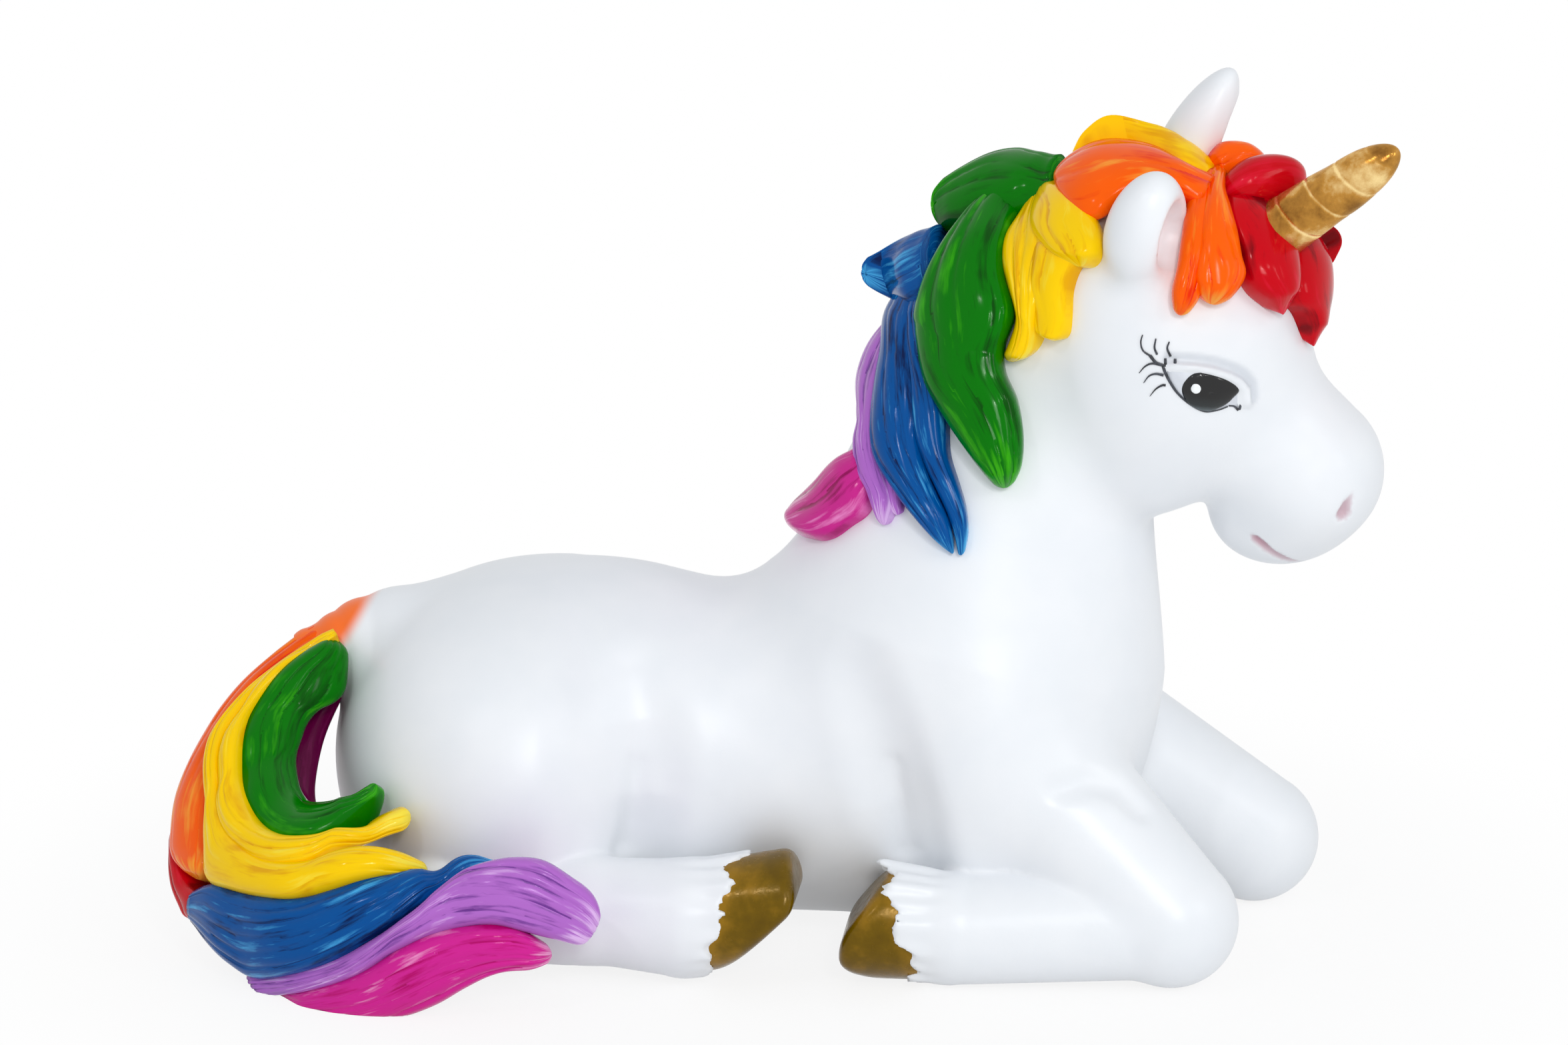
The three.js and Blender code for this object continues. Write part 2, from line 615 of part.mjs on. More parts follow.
function lock({ route, face, width, thickness, root = 0.6, tip = 0.14 }, grow) {
  const RINGS = 9;
  const RING_SIDES = 2 * STRANDS;
  const SWELL_END = 0.35;
  const curve = new THREE.CatmullRomCurve3(route.map((p) => new THREE.Vector3(...p)));
  const pointAt = (t) => curve.getPointAt(t).toArray();
  const wayAt = (t) => curve.getTangentAt(t).toArray();
  const halfWidth = (width / 2) * HAIR_FULLNESS;
  const halfThickness = (thickness / 2) * HAIR_FULLNESS;
  const rings = steps(RINGS, (i) => {
    const t = i / (RINGS - 1);
    const centre = pointAt(t);
    const ahead = wayAt(t);
    const across = unit(cross(face(centre), ahead));
    const out = cross(ahead, across);
    const late = Math.max(0, t - SWELL_END) / (1 - SWELL_END);
    const swell = mix(root, 1, smooth(t / SWELL_END)) - (1 - tip) * late ** 1.8;
    const w = halfWidth * swell + grow;
    return steps(RING_SIDES, (j) => {
      const angle = (2 * Math.PI * (j + 0.5)) / RING_SIDES;
      const ridge = 1 - STRAND_DEPTH * (1 + Math.cos(STRANDS * angle));
      const h = halfThickness * Math.sqrt(swell) * ridge + grow;
      return add(add(centre, across, w * Math.cos(angle)), out, h * Math.sin(angle));
    });
  });
  const start = add(pointAt(0), wayAt(0), -halfThickness * root - grow);
  const end = add(pointAt(1), wayAt(1), halfThickness * tip + grow);
  return solid(closedRings(rings, start, end));
}

// Each lock is cut back by the white castings and by the locks laid over it.
function lay(locks) {
  const laidOver = [];
  for (const [name, { colour, ...shape }] of Object.entries(locks)) {
    place(name, cutBy(lock(shape, 0), ...hairStops, ...laidOver), paints[colour]);
    laidOver.push(lock(shape, GLUE_GAP));
  }
}

// Mane: guide points from the head's centre or the neck's top, each with its height over the skin

// The guides grow with the mass they lie on: its size now over the size they were drawn for.
const HEAD_DRAWN = [29, 26, 29];
const NECK_DRAWN = [26, 24, 31];
const TAIL_DRAWN = [43, 51, 40.7];
const stretched = (p, ratios) => p.map((v, i) => v * ratios[i]);
const growth = (sizes, drawn) => sizes.map((size, i) => size / drawn[i]);
const headGrowth = growth([SKULL_LENGTH, SKULL_WIDTH, SKULL_HEIGHT], HEAD_DRAWN);
const neckGrowth = growth([NECK_TOP_DEPTH, NECK_WIDTH, NECK_TOP_Z - NECK_BASE_Z], NECK_DRAWN);
const tailGrowth = growth([RUMP_LENGTH, THIGH_SPAN, RUMP_HEIGHT], TAIL_DRAWN);

const skinFace = (p) => outward(skinField, p);
const overSkin = (start) => (guide) => ({
  route: guide.map(([x, y, z, lift]) => onSurface(skinField, start([x, y, z]), lift)),
  face: skinFace,
});
const onHead = overSkin((p) => fromHead(stretched(p, headGrowth)));
const onNeck = overSkin((p) => add(neckTop, stretched(p, neckGrowth)));

lay({
  red_forelock: {
    ...onHead([
      [14.5, -3.5, 19.5, 2.6], [17, -4.5, 14.5, 1.6],
      [19.5, -2.5, 10.5, 1.2], [21, 0.5, 4.5, 0.6],
    ]),
    width: 10,
    thickness: 5.5,
    tip: 0.25,
    colour: "red",
  },
  red_curl: {
    ...onHead([[11.5, 1, 21.5, 2.6], [14.5, 3, 20.5, 3.4], [17.3, 3.8, 18.5, 3.4], [19, 3.6, 15.5, 2.8]]),
    width: 7,
    thickness: 6,
    root: 0.7,
    tip: 0.5,
    colour: "red",
  },
  red_forelock_left: {
    ...onHead([[18.5, 7.5, 13.5, 3], [19, 7.5, 10, 2.4], [20, 5, 7, 1.4]]),
    width: 6,
    thickness: 4.6,
    tip: 0.4,
    colour: "red",
  },
  orange_forelock: {
    ...onHead([
      [12.5, -2, 21.5, 3], [13, -6.5, 19, 2.4],
      [12.5, -8.5, 15.5, 1.4], [11.5, -11, 12.5, 0.9],
    ]),
    width: 7.6,
    thickness: 5.2,
    tip: 0.45,
    colour: "orange",
  },
  orange_crest: {
    ...onHead([[12, 2.5, 21, 2.2], [5.5, 4.5, 22.5, 2.6], [-0.5, 2.5, 22.5, 3], [-2.5, -3.5, 21, 2.6]]),
    width: 7.4,
    thickness: 6,
    tip: 0.5,
    colour: "orange",
  },
  orange_forelock_left: {
    ...onHead([[12, 9.5, 18, 3.2], [8.5, 12, 17.5, 3.4], [6, 12.5, 15.5, 2.4]]),
    width: 6.5,
    thickness: 6,
    tip: 0.4,
    colour: "orange",
  },
  yellow_mane: {
    ...onHead([
      [-3, -4, 20.5, 2.4], [-5, -8, 17.5, 3], [-4.5, -11.5, 13, 2.6],
      [-5, -12.5, 9, 2], [-6.5, -13, 6, 1.7],
    ]),
    width: 9,
    thickness: 6,
    tip: 0.35,
    colour: "yellow",
  },
  yellow_crest: {
    ...onHead([[7.5, 9, 19, 1.6], [2.5, 9.5, 20, 2.2], [-2, 8.5, 21, 2.6], [-5.5, 5.5, 19.5, 2.2]]),
    width: 7,
    thickness: 6,
    tip: 0.5,
    colour: "yellow",
  },
  green_mane: {
    ...onNeck([
      [-3, -7, 14, 3.2], [-7.5, -11, 8.5, 3.4], [-8.5, -13, 1.5, 3.1],
      [-5.5, -14.5, -5, 1.8], [-2, -15.5, -12.5, 1],
    ]),
    width: 10,
    thickness: 7,
    root: 0.7,
    colour: "green",
  },
  green_tuft: {
    ...onHead([[-5.5, 3.5, 20, 2.8], [-11.5, 3, 18.5, 3.1], [-16.5, 2.5, 17.5, 3.6], [-20, 1, 16, 3.8]]),
    width: 8.5,
    thickness: 8,
    root: 0.8,
    colour: "green",
  },
  blue_mane: {
    ...onNeck([
      [-12, -6, 6, 2], [-13, -10, -2, 2.4], [-13, -12.5, -8.5, 1.7],
      [-10.5, -14.5, -14.5, 1], [-7.5, -16.5, -19.5, 0.5],
    ]),
    width: 8,
    thickness: 5.6,
    root: 0.7,
    colour: "blue",
  },
  blue_tuft: {
    ...onNeck([[-10, -3, 10.5, 2], [-14.5, -1, 9, 4], [-18.5, 0, 6.5, 6.6]]),
    width: 7,
    thickness: 6,
    root: 0.8,
    colour: "blue",
  },
  purple_mane: {
    ...onNeck([
      [-14.5, -4, 1.5, 1.6], [-17, -5, -5, 1.4],
      [-17, -8.5, -11.5, 0.9], [-16, -13, -18, 0.5],
    ]),
    width: 7.5,
    thickness: 4.8,
    colour: "purple",
  },
  magenta_mane: {
    ...onNeck([[-20.5, -1, -13, 0.6], [-23, -1, -17.5, 1], [-26.5, -1, -21.5, 1.8]]),
    width: 8.5,
    thickness: 5,
    colour: "magenta",
  },
  yellow_mane_left: {
    ...onHead([
      [-6, 9.5, 15, 2.8], [-10, 12, 11.5, 2.7],
      [-11.5, 13.5, 6.5, 2.3], [-13.5, 13, 1.5, 1.9],
    ]),
    width: 9,
    thickness: 6,
    tip: 0.35,
    colour: "yellow",
  },
  green_mane_left: {
    ...onNeck([
      [-5, 6.5, 13.5, 3.3], [-7.5, 11, 8, 3.1], [-8, 12.5, 1.5, 2.8],
      [-5.5, 14.5, -5, 1.8], [-2, 15.5, -12.5, 1],
    ]),
    width: 10,
    thickness: 7,
    root: 0.7,
    colour: "green",
  },
  blue_mane_left: {
    ...onNeck([
      [-12, 6, 6, 2], [-13, 10, -2, 2.3], [-13, 12.5, -8.5, 1.7],
      [-10.5, 14.5, -14.5, 1], [-7.5, 16.5, -19.5, 0.5],
    ]),
    width: 8,
    thickness: 5.6,
    root: 0.7,
    colour: "blue",
  },
  purple_mane_left: {
    ...onNeck([
      [-14.5, 4, 1.5, 1.8], [-17.5, 4, -5, 1.5],
      [-18, 7.5, -11.5, 0.9], [-16.5, 12, -17, 0.5],
    ]),
    width: 6,
    thickness: 4.6,
    colour: "purple",
  },
});

// Tail: it leaves the rump, swings round behind it and lies along the right hind leg

const tailRoot = onSurface(bodyField, [RUMP_X - RUMP_LENGTH * 0.46, 0, RUMP_HEIGHT * 0.85]);
const onTail = (guide, face) => ({
  route: guide.map((p) => add(tailRoot, stretched(p, tailGrowth))),
  face: () => unit(face),
});
const SWING_FACE = [-0.45, -0.85, 0.25];
const LYING_FACE = [-0.05, -0.92, 0.4];

lay({
  tail_green: {
    ...onTail(
      [
        [-5.4, -5, -0.3], [-9.5, -11, -3.3], [-11.9, -16, -8.6],
        [-10.9, -20, -13.4], [-5.5, -22, -15.6], [1, -20, -13.2],
      ],
      SWING_FACE,
    ),
    width: 7,
    thickness: 5.6,
    root: 0.7,
    colour: "green",
  },
  tail_yellow: {
    ...onTail(
      [
        [-5.6, -4, 1.7], [-11.9, -10, -4.4], [-16.7, -16, -10.3], [-15.6, -22, -15.9],
        [-8.9, -27, -18.6], [-1.7, -27, -17.6], [5.6, -25, -15],
      ],
      SWING_FACE,
    ),
    width: 7.4,
    thickness: 6.4,
    colour: "yellow",
  },
  tail_orange: {
    ...onTail(
      [
        [-0.8, -0.5, 2.6], [-9.8, -5, -2.3], [-16.4, -9, -9.3],
        [-19.6, -13, -15.8], [-18.8, -18, -21.7],
      ],
      SWING_FACE,
    ),
    width: 9,
    thickness: 8,
    root: 0.9,
    tip: 0.3,
    colour: "orange",
  },
  tail_purple: {
    ...onTail(
      [
        [-8.6, -30, -30.9], [0.8, -34, -27], [9.5, -35, -22],
        [16.4, -34, -17.7], [21.9, -33, -17.9], [26.3, -32, -23.1],
      ],
      LYING_FACE,
    ),
    width: 9,
    thickness: 6,
    tip: 0.4,
    colour: "purple",
  },
  tail_blue: {
    ...onTail(
      [
        [-17.2, -22, -24.9], [-8.5, -30, -25.7], [0.7, -33, -23.7],
        [7.6, -32, -20.1], [14.1, -30, -17.8],
      ],
      LYING_FACE,
    ),
    width: 9.6,
    thickness: 7,
    root: 0.5,
    tip: 0.3,
    colour: "blue",
  },
  tail_pink: {
    ...onTail(
      [[-6.3, -31, -32.7], [3.7, -35, -31], [12.4, -36, -26.7], [17.9, -35, -23.9], [22.5, -34, -25.9]],
      LYING_FACE,
    ),
    width: 8.4,
    thickness: 6,
    tip: 0.35,
    colour: "pink",
  },
  tail_red: {
    ...onTail(
      [[-20.2, -11, -18], [-20, -15, -22.5], [-18.3, -19, -26], [-14.3, -24, -28.6]],
      SWING_FACE,
    ),
    width: 5.6,
    thickness: 5,
    root: 0.5,
    tip: 0.3,
    colour: "red",
  },
  tail_core: {
    ...onTail(
      [
        [-2.5, 1, 0.4], [-6.8, -1, -3.4], [-10, -4, -7.5], [-11.5, -8, -12.5],
        [-10.6, -15, -18], [-6.5, -22, -21], [0.5, -27.5, -21.5],
      ],
      SWING_FACE,
    ),
    width: 9.5,
    thickness: 6.5,
    root: 0.75,
    tip: 0.5,
    colour: "maroon",
  },
});

export default ornament;
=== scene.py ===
"""Lying unicorn ornament: one smooth white casting, brushed locks of hair, a gold horn and bronze hooves.

Shapes are worked out in millimetres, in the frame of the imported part, and become meshes in metres.
The white casting is a blended field meshed on a fine grid. Each lock is a bundle of lofted strands.
"""
import math

import bpy
import numpy as np
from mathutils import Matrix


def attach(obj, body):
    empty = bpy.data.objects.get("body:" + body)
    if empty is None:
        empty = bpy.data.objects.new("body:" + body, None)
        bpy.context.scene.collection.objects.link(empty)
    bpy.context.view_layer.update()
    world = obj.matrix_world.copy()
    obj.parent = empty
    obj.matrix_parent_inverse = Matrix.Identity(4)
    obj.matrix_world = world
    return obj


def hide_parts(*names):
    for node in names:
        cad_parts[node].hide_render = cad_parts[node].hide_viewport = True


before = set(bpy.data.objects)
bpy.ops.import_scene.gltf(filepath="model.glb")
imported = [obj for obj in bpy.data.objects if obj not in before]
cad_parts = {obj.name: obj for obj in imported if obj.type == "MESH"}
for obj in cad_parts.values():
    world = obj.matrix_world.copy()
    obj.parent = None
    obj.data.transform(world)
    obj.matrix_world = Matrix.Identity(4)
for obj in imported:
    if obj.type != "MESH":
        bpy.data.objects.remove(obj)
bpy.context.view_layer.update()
MM = 0.001

# Sizes of the figure, in millimetres, close to those of the solids

BASE_CUT = 1.2
RUMP_X, RUMP_LENGTH, RUMP_WIDTH, RUMP_HEIGHT = -27.5, 44.2, 38, 40.7
THIGH_X, THIGH_LENGTH, THIGH_SPAN, THIGH_THICKNESS, THIGH_HEIGHT = -29.5, 30, 51, 30, 35.2
BARREL_REAR_X, BARREL_FRONT_X, BARREL_TOP_Z, BARREL_HEIGHT, BARREL_WIDTH = -14, 16, 37.5, 35.5, 35
CHEST_X, CHEST_LENGTH, CHEST_WIDTH, CHEST_TOP_Z, CHEST_LOW_Z = 22.5, 30.5, 31, 49, 4
NECK_BASE_X, NECK_BASE_Z, NECK_BASE_DEPTH = 19.2, 35, 40
NECK_TOP = np.array([27.0, 0.0, 66.0])
NECK_TOP_DEPTH, NECK_WIDTH = 26, 24
UPPER_ARM_CENTRE, UPPER_ARM_RADII = (22, -8.6, 24), (13.5, 13, 19)
HOLLOW_WIDTH = 8
HEAD_CENTRE = np.array([36.0, -2.0, 64.0])
HEAD_YAW, HEAD_ROLL = math.radians(15), math.radians(15)
KNEE_DIAMETER, SHOULDER_DIAMETER, CANNON_DIAMETER, CANNON_LENGTH = 14.4, 20, 12, 22
HOCK_DIAMETER, HOCK_BACK, HOCK_Y, HIND_CANNON_LENGTH = 14, 4.5, 21.15, 25
SHANK_SHARE, SHANK_LIFT, SHANK_RADIUS = 0.55, 0.5, 5.5
CANNON_TOP_RADIUS, CANNON_RADIUS, HIND_CANNON_RADIUS = 6.3, 5.8, 6.3
FETLOCK_SPREAD, HIND_FETLOCK_SPREAD, HIND_FETLOCK_RISE = 2, 1, 1
HOOF_LENGTH, HOOF_WIDTH, HOOF_HEIGHT = 9.5, 11.5, 12.5
HORN_LENGTH, HORN_BASE, HORN_TIP, HORN_TURNS = 18.6, 6.9, 4.6, 4.5
SOCKET_DEPTH = 2.3
FLOOR_GAP = 0.02

# Masses of the head in its own frame: centre and radii, and for the nose both ends and their radii

SKULL = ((4.5, 0, 6), (14.5, 13, 14.5))
CHEEK = ((2.5, -6, -3), (11, 7.5, 11.5))
NOSE = ((9, 0, 0), (19, 0, -10.4), 11, 6.5)
MUZZLE = ((19.4, 0, -11.6), (7.7, 8.3, 7.6))
CHIN = ((15.2, 0, -17), (6, 5.5, 4.5))

# Softness of the joins, in millimetres; the haunch's join hardens to a crease over a span of x

TORSO_BLEND = 10
HAUNCH_BLEND, HAUNCH_BLEND_X, HAUNCH_BLEND_SPAN = 9.0, -25, 9
CREASE_BLEND = 1.2
HOLLOW_BLEND = 3
HEAD_BLEND = 5
SKIN_BLEND = 2
FOREARM_BLEND = 2.6
CREASE_CUT_BLEND = 2.2
SHANK_BLEND = 2
LEG_BLEND = 0.7
HOOF_HAIRLINE_BLEND, HOOF_CUT_BLEND = 1.0, 1.4
SLEEVE_BLEND, SLEEVE_EDGE_BLEND = 1.2, 0.4
STUMP_BLEND = 4
NAPE_BLEND = 3.5
EAR_BLEND, EAR_HOLLOW_BLEND = 1.8, 0.9


def unit(a):
    a = np.asarray(a, float)
    return a / np.linalg.norm(a, axis=-1, keepdims=True)


def mix(a, b, t):
    return a + (b - a) * t


def smooth(t):
    t = np.clip(t, 0, 1)
    return t * t * (3 - 2 * t)


# Fields: p is an array of points, the value is negative inside

TINY = 1e-6
SLOPE_STEP = 0.05
SURFACE_STEPS = 12


def ellipsoid(p, centre, radii):
    radii = np.asarray(radii, p.dtype)
    q = (p - np.asarray(centre, p.dtype)) / radii
    k0 = np.sqrt((q * q).sum(-1))
    q = q / radii
    k1 = np.sqrt((q * q).sum(-1))
    return k0 * (k0 - 1) / np.maximum(k1, TINY)


def limb(p, start, end, start_radius, end_radius, side_scale=1.0):
    start = np.asarray(start, p.dtype)
    way = np.asarray(end, p.dtype) - start
    d = p - start
    t = np.clip(d @ way / (way @ way), 0, 1)
    off = d - t[..., None] * way
    off[..., 1] /= side_scale
    return np.sqrt((off * off).sum(-1)) - mix(start_radius, end_radius, t)


def string_field(p, points, radii):
    """Limbs from point to point."""
    value = None
    for i in range(len(points) - 1):
        bead = limb(p, points[i], points[i + 1], radii[i], radii[i + 1])
        value = bead if value is None else np.minimum(value, bead)
    return value


def blend(radius, *values):
    out = values[0]
    for value in values[1:]:
        h = np.maximum(radius - np.abs(out - value), 0) / radius
        out = np.minimum(out, value) - h * h * radius / 4
    return out


def common(radius, *values):
    return -blend(radius, *[-v for v in values])


def carve(radius, value, tool):
    return common(radius, value, -tool)


def gradient(field, p, step=SLOPE_STEP):
    slope = np.empty_like(p)
    for axis in range(3):
        shift = np.zeros(3, p.dtype)
        shift[axis] = step
        slope[..., axis] = (field(p + shift) - field(p - shift)) / (2 * step)
    return slope


def on_surface(field, p, lift=0.0):
    at = np.array(p, float)
    for _ in range(SURFACE_STEPS):
        slope = gradient(field, at)
        at = at - slope * (field(at) / np.maximum((slope * slope).sum(-1), TINY))[..., None]
    return at + unit(gradient(field, at)) * np.asarray(lift)[..., None]


# Sides, and the head's own frame

SIDES = {"right": 1.0, "left": -1.0}


def for_side(sign, p):
    return np.array([p[0], p[1] * sign, p[2]], float)


def folded(p):
    """The points with those of the left side laid over on the right."""
    q = p.copy()
    q[..., 1] = -np.abs(p[..., 1])
    return q


def head_turn():
    cy, sy = math.cos(-HEAD_YAW), math.sin(-HEAD_YAW)
    cr, sr = math.cos(HEAD_ROLL), math.sin(HEAD_ROLL)
    yaw = np.array([[cy, -sy, 0], [sy, cy, 0], [0, 0, 1]])
    roll = np.array([[1, 0, 0], [0, cr, -sr], [0, sr, cr]])
    return yaw @ roll


HEAD_TURN = head_turn()


def from_head(p):
    return np.asarray(p, float) @ HEAD_TURN.T + HEAD_CENTRE


def from_head_way(way):
    return np.asarray(way, float) @ HEAD_TURN.T


def to_head(p):
    return (p - HEAD_CENTRE.astype(p.dtype)) @ HEAD_TURN.astype(p.dtype)


# White masses

AXIS_Z = BARREL_TOP_Z - BARREL_HEIGHT / 2


def torso_field(p):
    rump = ellipsoid(
        p, (RUMP_X, 0, RUMP_HEIGHT / 2 - BASE_CUT), (RUMP_LENGTH / 2, RUMP_WIDTH / 2, RUMP_HEIGHT / 2)
    )
    barrel = limb(
        p,
        (BARREL_REAR_X, 0, AXIS_Z),
        (BARREL_FRONT_X, 0, AXIS_Z),
        BARREL_HEIGHT / 2,
        BARREL_HEIGHT / 2,
        BARREL_WIDTH / BARREL_HEIGHT,
    )
    chest = ellipsoid(
        p,
        (CHEST_X, 0, (CHEST_TOP_Z + CHEST_LOW_Z) / 2),
        (CHEST_LENGTH / 2, CHEST_WIDTH / 2, (CHEST_TOP_Z - CHEST_LOW_Z) / 2),
    )
    neck = limb(
        p,
        (NECK_BASE_X, 0, NECK_BASE_Z),
        NECK_TOP,
        NECK_BASE_DEPTH / 2,
        NECK_TOP_DEPTH / 2,
        NECK_WIDTH / NECK_TOP_DEPTH,
    )
    return blend(TORSO_BLEND, rump, barrel, chest, neck)


def hollow_line(marks):
    """The middle line of a hollow in the flank, from (x, z, depth) marks."""
    marks = np.array(marks, float)
    start = np.stack([marks[:, 0], np.full(len(marks), -BARREL_WIDTH / 2), marks[:, 1]], -1)
    return on_surface(torso_field, start, HOLLOW_WIDTH / 2 - marks[:, 2])


HAUNCH_HOLLOW = hollow_line([(-14.6, 33, 0.0), (-13.6, 27, 0.7), (-13.4, 19, 1.3), (-14.6, 10, 1.6)])
SHOULDER_HOLLOW = hollow_line([(9.5, 33, 0.0), (12.0, 27, 0.5), (14.0, 19, 0.9), (15.5, 11, 1.2)])
HOLLOW_RADII = [HOLLOW_WIDTH / 2] * len(HAUNCH_HOLLOW)


def body_field(p):
    right = folded(p)
    thigh = ellipsoid(
        right,
        (THIGH_X, -(THIGH_SPAN - THIGH_THICKNESS) / 2, THIGH_HEIGHT / 2 - BASE_CUT),
        (THIGH_LENGTH / 2, THIGH_THICKNESS / 2, THIGH_HEIGHT / 2),
    )
    upper_arm = ellipsoid(right, UPPER_ARM_CENTRE, UPPER_ARM_RADII)
    torso = carve(HOLLOW_BLEND, torso_field(p), string_field(right, HAUNCH_HOLLOW, HOLLOW_RADII))
    soft = mix(HAUNCH_BLEND, CREASE_BLEND, smooth((p[..., 0] - HAUNCH_BLEND_X) / HAUNCH_BLEND_SPAN))
    f = blend(CREASE_BLEND, blend(soft, torso, thigh), upper_arm)
    return carve(HOLLOW_BLEND, f, string_field(right, SHOULDER_HOLLOW, HOLLOW_RADII))


def upright_head(p):
    return blend(
        HEAD_BLEND,
        ellipsoid(p, *SKULL),
        ellipsoid(folded(p), *CHEEK),
        limb(p, *NOSE),
        ellipsoid(p, *MUZZLE),
        ellipsoid(p, *CHIN),
    )


def head_field(p):
    return upright_head(to_head(p))


def skin_field(p):
    return blend(SKIN_BLEND, body_field(p), head_field(p))


# Camera of the photograph: the picture is 2352 by 1568 points, at 14 points to the millimetre on the target

PICTURE_MIDDLE = (1176, 784)
PICTURE_SCALE = 14
CAMERA_TARGET = np.array([0.0, -5.0, 46.2])
CAMERA_DISTANCE = 600
CAMERA_AZIMUTH, CAMERA_ELEVATION = math.radians(6), math.radians(14)


def camera_axes():
    """The camera's right, up and back."""
    ca, sa = math.cos(CAMERA_AZIMUTH), math.sin(CAMERA_AZIMUTH)
    ce, se = math.cos(CAMERA_ELEVATION), math.sin(CAMERA_ELEVATION)
    return np.array([ca, sa, 0]), np.array([-sa * se, ca * se, ce]), np.array([sa * ce, -ca * ce, se])


CAMERA_RIGHT, CAMERA_UP, CAMERA_BACK = camera_axes()
CAMERA_PLACE = CAMERA_TARGET + CAMERA_BACK * CAMERA_DISTANCE
# Depths tried along a sight line, as shares of the distance to the target's plane
SKIN_DEPTHS = np.linspace(0.9, 1.1, 900)
BODY_DEPTHS = np.linspace(0.9, 1.05, 1200)


def sight(points):
    """Directions from the camera through picture points, reaching the target's plane at length one."""
    points = np.asarray(points, float)
    x = (points[:, 0] - PICTURE_MIDDLE[0]) / PICTURE_SCALE
    y = (PICTURE_MIDDLE[1] - points[:, 1]) / PICTURE_SCALE
    return x[:, None] * CAMERA_RIGHT + y[:, None] * CAMERA_UP - CAMERA_BACK * CAMERA_DISTANCE


def seen_on(field, depths, points, lift):
    """Where the sight lines first come within lift of a surface, or pass it closest."""
    ways = sight(points)
    along = CAMERA_PLACE + depths[None, :, None] * ways[:, None]
    value = field(along)
    hit = value < lift
    first = np.where(hit.any(1), hit.argmax(1), value.argmin(1))
    return along[np.arange(len(ways)), first]


def seen_on_skin(points, lift):
    return seen_on(skin_field, SKIN_DEPTHS, points, lift)


def seen_at(points, y):
    """Where the sight lines cross the upright planes at y."""
    ways = sight(points)
    t = (np.asarray(y, float) - CAMERA_PLACE[1]) / ways[:, 1]
    return CAMERA_PLACE + t[:, None] * ways


class Enlargement:
    """Points read off an enlarged corner of the photograph."""

    def __init__(self, corner, scale):
        self.corner = np.array(corner, float)
        self.scale = scale

    def __call__(self, points):
        return self.corner + np.asarray(points, float) / self.scale


EYE_SCALE = 1500 / 220
EYE_VIEW = Enlargement((1690, 480), EYE_SCALE)
NOSE_VIEW = Enlargement((1840, 600), 1500 / 270)
MANE_VIEW = Enlargement((1120, 60), 5 / 3)
TAIL_VIEW = Enlargement((220, 840), 1500 / 860)


# Legs

KNEE_Z = KNEE_DIAMETER / 2
CANNON_Z = CANNON_DIAMETER / 2
SHOULDER = {"right": (23, -10.2, 24), "left": (23, 10.6, 24)}
KNEE = {"right": np.array([42.5, -18, KNEE_Z]), "left": np.array([50.5, 13, KNEE_Z])}
FETLOCK, HOCK, HIND_FETLOCK = {}, {}, {}
for side, sign in SIDES.items():
    FETLOCK[side] = KNEE[side] + for_side(sign, (-CANNON_LENGTH, -FETLOCK_SPREAD, CANNON_Z - KNEE_Z))
    HOCK[side] = for_side(sign, (THIGH_X - HOCK_BACK, -HOCK_Y, HOCK_DIAMETER / 2))
    HIND_FETLOCK[side] = HOCK[side] + for_side(
        sign, (HIND_CANNON_LENGTH, -HIND_FETLOCK_SPREAD, CANNON_Z + HIND_FETLOCK_RISE - HOCK_DIAMETER / 2)
    )


def bare_field(p):
    """The body with the forearms, before creases and small things."""
    f = body_field(p)
    for s in SIDES:
        forearm = limb(p, SHOULDER[s], KNEE[s], SHOULDER_DIAMETER / 2, KNEE_DIAMETER / 2)
        f = blend(FOREARM_BLEND, f, forearm)
    return f


def with_lower_legs(p, f):
    for s in SIDES:
        cannon = limb(p, KNEE[s], FETLOCK[s], CANNON_TOP_RADIUS, CANNON_RADIUS)
        shank = mix(HOCK[s], HIND_FETLOCK[s], SHANK_SHARE) + (0, 0, SHANK_LIFT)
        hind = blend(
            SHANK_BLEND,
            limb(p, HOCK[s], shank, HOCK_DIAMETER / 2, SHANK_RADIUS),
            limb(p, shank, HIND_FETLOCK[s], SHANK_RADIUS, HIND_CANNON_RADIUS),
        )
        f = blend(LEG_BLEND, f, cannon, hind)
    return f


# Hooves: the way to the toe, the lean of the hairline, and planes (way, reach) that cut the toe and sole

FORE_TOE, HIND_TOE = unit((-1, 0, 0.08)), unit((1, 0, 0.12))
FORE_LEAN, HIND_LEAN = unit((-0.97, 0, -0.24)), unit((0.96, 0, -0.28))
FORE_CUTS = [((-0.8, 0, 0.6), 5.3), ((-1, 0, 0), 7.2), ((-0.56, 0, -0.83), 7.6)]
HIND_CUTS = [((0.72, 0, -0.7), 4.7), ((1, 0, 0.2), 9.4)]
FORE_PASTERN, HIND_PASTERN = 5.6, 3.6
HOOF_BACK, HOOF_HAIRLINE = 3, 2.5
HOOF_TOP_SHARE, HOOF_TOE_SHARE = 0.455, 0.53
SLEEVE_THICKNESS, SLEEVE_LENGTH, SLEEVE_OVERHANG = 0.3, 5, 0.6
FOLD_DEPTH, FOLD_SPAN = 0.3, 4
HOOVES = {}
for side in SIDES:
    fore, hind = FETLOCK[side] + FORE_TOE * FORE_PASTERN, HIND_FETLOCK[side] + HIND_TOE * HIND_PASTERN
    HOOVES["fore_hoof_" + side] = (fore, FORE_TOE, FORE_LEAN, FORE_CUTS)
    HOOVES["hind_hoof_" + side] = (hind, HIND_TOE, HIND_LEAN, HIND_CUTS)


